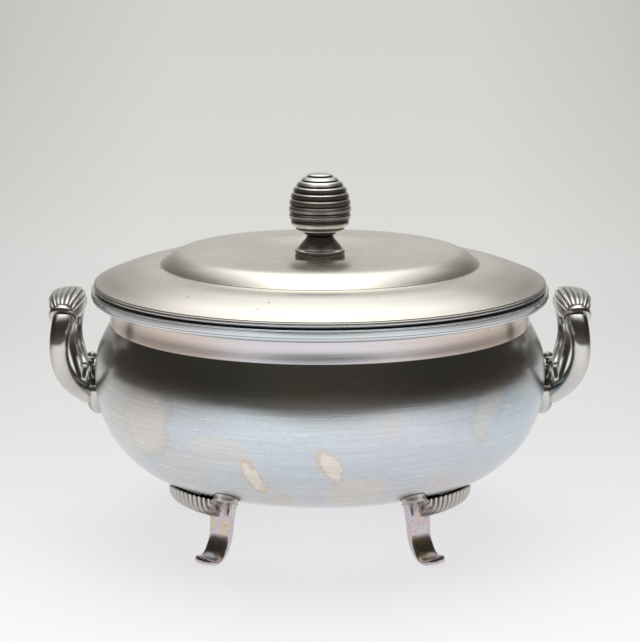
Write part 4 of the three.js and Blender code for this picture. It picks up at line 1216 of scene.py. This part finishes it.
curved = math_node(tree, "ADD", math_node(tree, "ADD", along, later), -PAPER_FRONT)
depth = math_node(tree, "MULTIPLY", curved, PAPER_SHARE)
# Painted shade: darker up the backdrop, towards the sides and at the front edge.
tone = ramp(tree, depth, [((far - PAPER_FRONT) * PAPER_SHARE, colour) for far, colour in PAPER_TONES])
painted_side_shade = ramp(tree, math_node(tree, "MULTIPLY", aside, 0.6), SIDE_TONES)
fibre = ramp(tree, noise(tree, place, 500, detail=2), [(0.2, 0.985), (0.8, 1.0)])
paper_tone = blend_colours(tree, 1.0, tone, painted_side_shade, "MULTIPLY")
paper_tone = blend_colours(tree, 1.0, paper_tone, fibre, "MULTIPLY")
paper_colour = blend_colours(tree, 1.0, paper_tone, PAPER_COLOUR, "MULTIPLY")
matt = add(tree, "ShaderNodeBsdfPrincipled", {
    "Base Color": paper_colour, "Roughness": 0.9, "Specular IOR Level": 0.0,
    "Emission Color": paper_tone, "Emission Strength": PAPER_GLOW})
clear = add(tree, "ShaderNodeBsdfTransparent")
seen = add(tree, "ShaderNodeLightPath", out=0)
below = math_node(tree, "MULTIPLY", seen, add(tree, "ShaderNodeNewGeometry", out=6))
finish_material(tree, add(tree, "ShaderNodeMixShader", {0: below, 1: matt, 2: clear}))

# %% [markdown]
# There are no lamps. All the light comes from the world, whose colour is worked out from the
# direction: a soft light overhead that gets narrow towards the sides, dim warm walls, and a darker
# floor. The camera itself sees a plain pale room.

# %% The room and its light
OVERHEAD_TONES = [(0.345, 0.0), (0.385, 0.13), (0.425, 0.5), (0.5, 0.93), (0.66, 0.8), (0.74, 0.6),
                  (0.82, 0.3), (0.90, 0.22), (1.0, 0.22)]
WALL_TONES = [(0.0, (0.060, 0.052, 0.042)), (0.25, (0.034, 0.030, 0.024)), (0.55, (0.025, 0.022, 0.017))]
FLOOR_TONE, PALE_ROOM, ROOM_STRENGTH = (0.04, 0.036, 0.03), (0.72, 0.72, 0.71), 2.3
room = bpy.data.worlds.new("room")
scene.world = room
room.use_nodes = True
tree = room.node_tree
tree.nodes.clear()
direction = add(tree, "ShaderNodeTexCoord", out=0)
x, y, z = (add(tree, "ShaderNodeSeparateXYZ", {0: direction}, out=axis) for axis in (0, 1, 2))
arc = math_node(tree, "ARCTAN2", z, math_node(tree, "MULTIPLY", y, -1.0))
height = math_node(tree, "DIVIDE", arc, math.pi)
overhead = ramp(tree, height, OVERHEAD_TONES)
aside = math_node(tree, "ABSOLUTE", x)
narrow = ramp(tree, aside, [(0.24, 1.0), (0.42, 0.5), (0.6, 0.1), (0.74, 0.0)], "EASE")
soft_light = blend_colours(tree, 1.0, overhead, narrow, "MULTIPLY")
walls = ramp(tree, z, WALL_TONES)
walls = blend_colours(tree, 1.0, walls, ramp(tree, aside, [(0.3, 1.0), (0.85, 0.58)]), "MULTIPLY")
light = blend_colours(tree, 1.0, soft_light, walls, "ADD")
below = math_node(tree, "LESS_THAN", z, 0.0)
light = blend_colours(tree, below, light, FLOOR_TONE)
lit = add(tree, "ShaderNodeBackground", {"Color": light, "Strength": ROOM_STRENGTH})
pale = add(tree, "ShaderNodeBackground", {"Color": (*PALE_ROOM, 1), "Strength": 1.0})
seen = add(tree, "ShaderNodeLightPath", out=0)
shown = add(tree, "ShaderNodeMixShader", {0: seen, 1: lit, 2: pale})
tree.links.new(shown, tree.nodes.new("ShaderNodeOutputWorld").inputs["Surface"])
print("room nodes:", len(tree.nodes))

# %% [markdown]
# ## Camera and view
# The camera was fitted to the ellipses of the lid, rim and neck: it stands 1.2 m in front of the
# tureen and looks down on it by about 11 degrees, through a lens of 101 mm.

# %% Camera
FOCAL_PIXELS, PHOTO_PIXELS, SENSOR_WIDTH = 1800, 642, 36
CAMERA_PLACE, CAMERA_AIM = Vector((0, -1.2173, 0.3923)), Vector((0, 0, 0.1461))
camera = bpy.data.objects.new("camera", bpy.data.cameras.new("camera"))
scene.collection.objects.link(camera)
camera.data.lens = SENSOR_WIDTH * FOCAL_PIXELS / PHOTO_PIXELS
camera.data.sensor_width = SENSOR_WIDTH
camera.location = CAMERA_PLACE
camera.rotation_mode = "QUATERNION"
camera.rotation_quaternion = (CAMERA_AIM - CAMERA_PLACE).to_track_quat("-Z", "Y")
scene.camera = camera
scene.view_settings.view_transform = "Standard"
print("lens", round(camera.data.lens, 1), "mm")
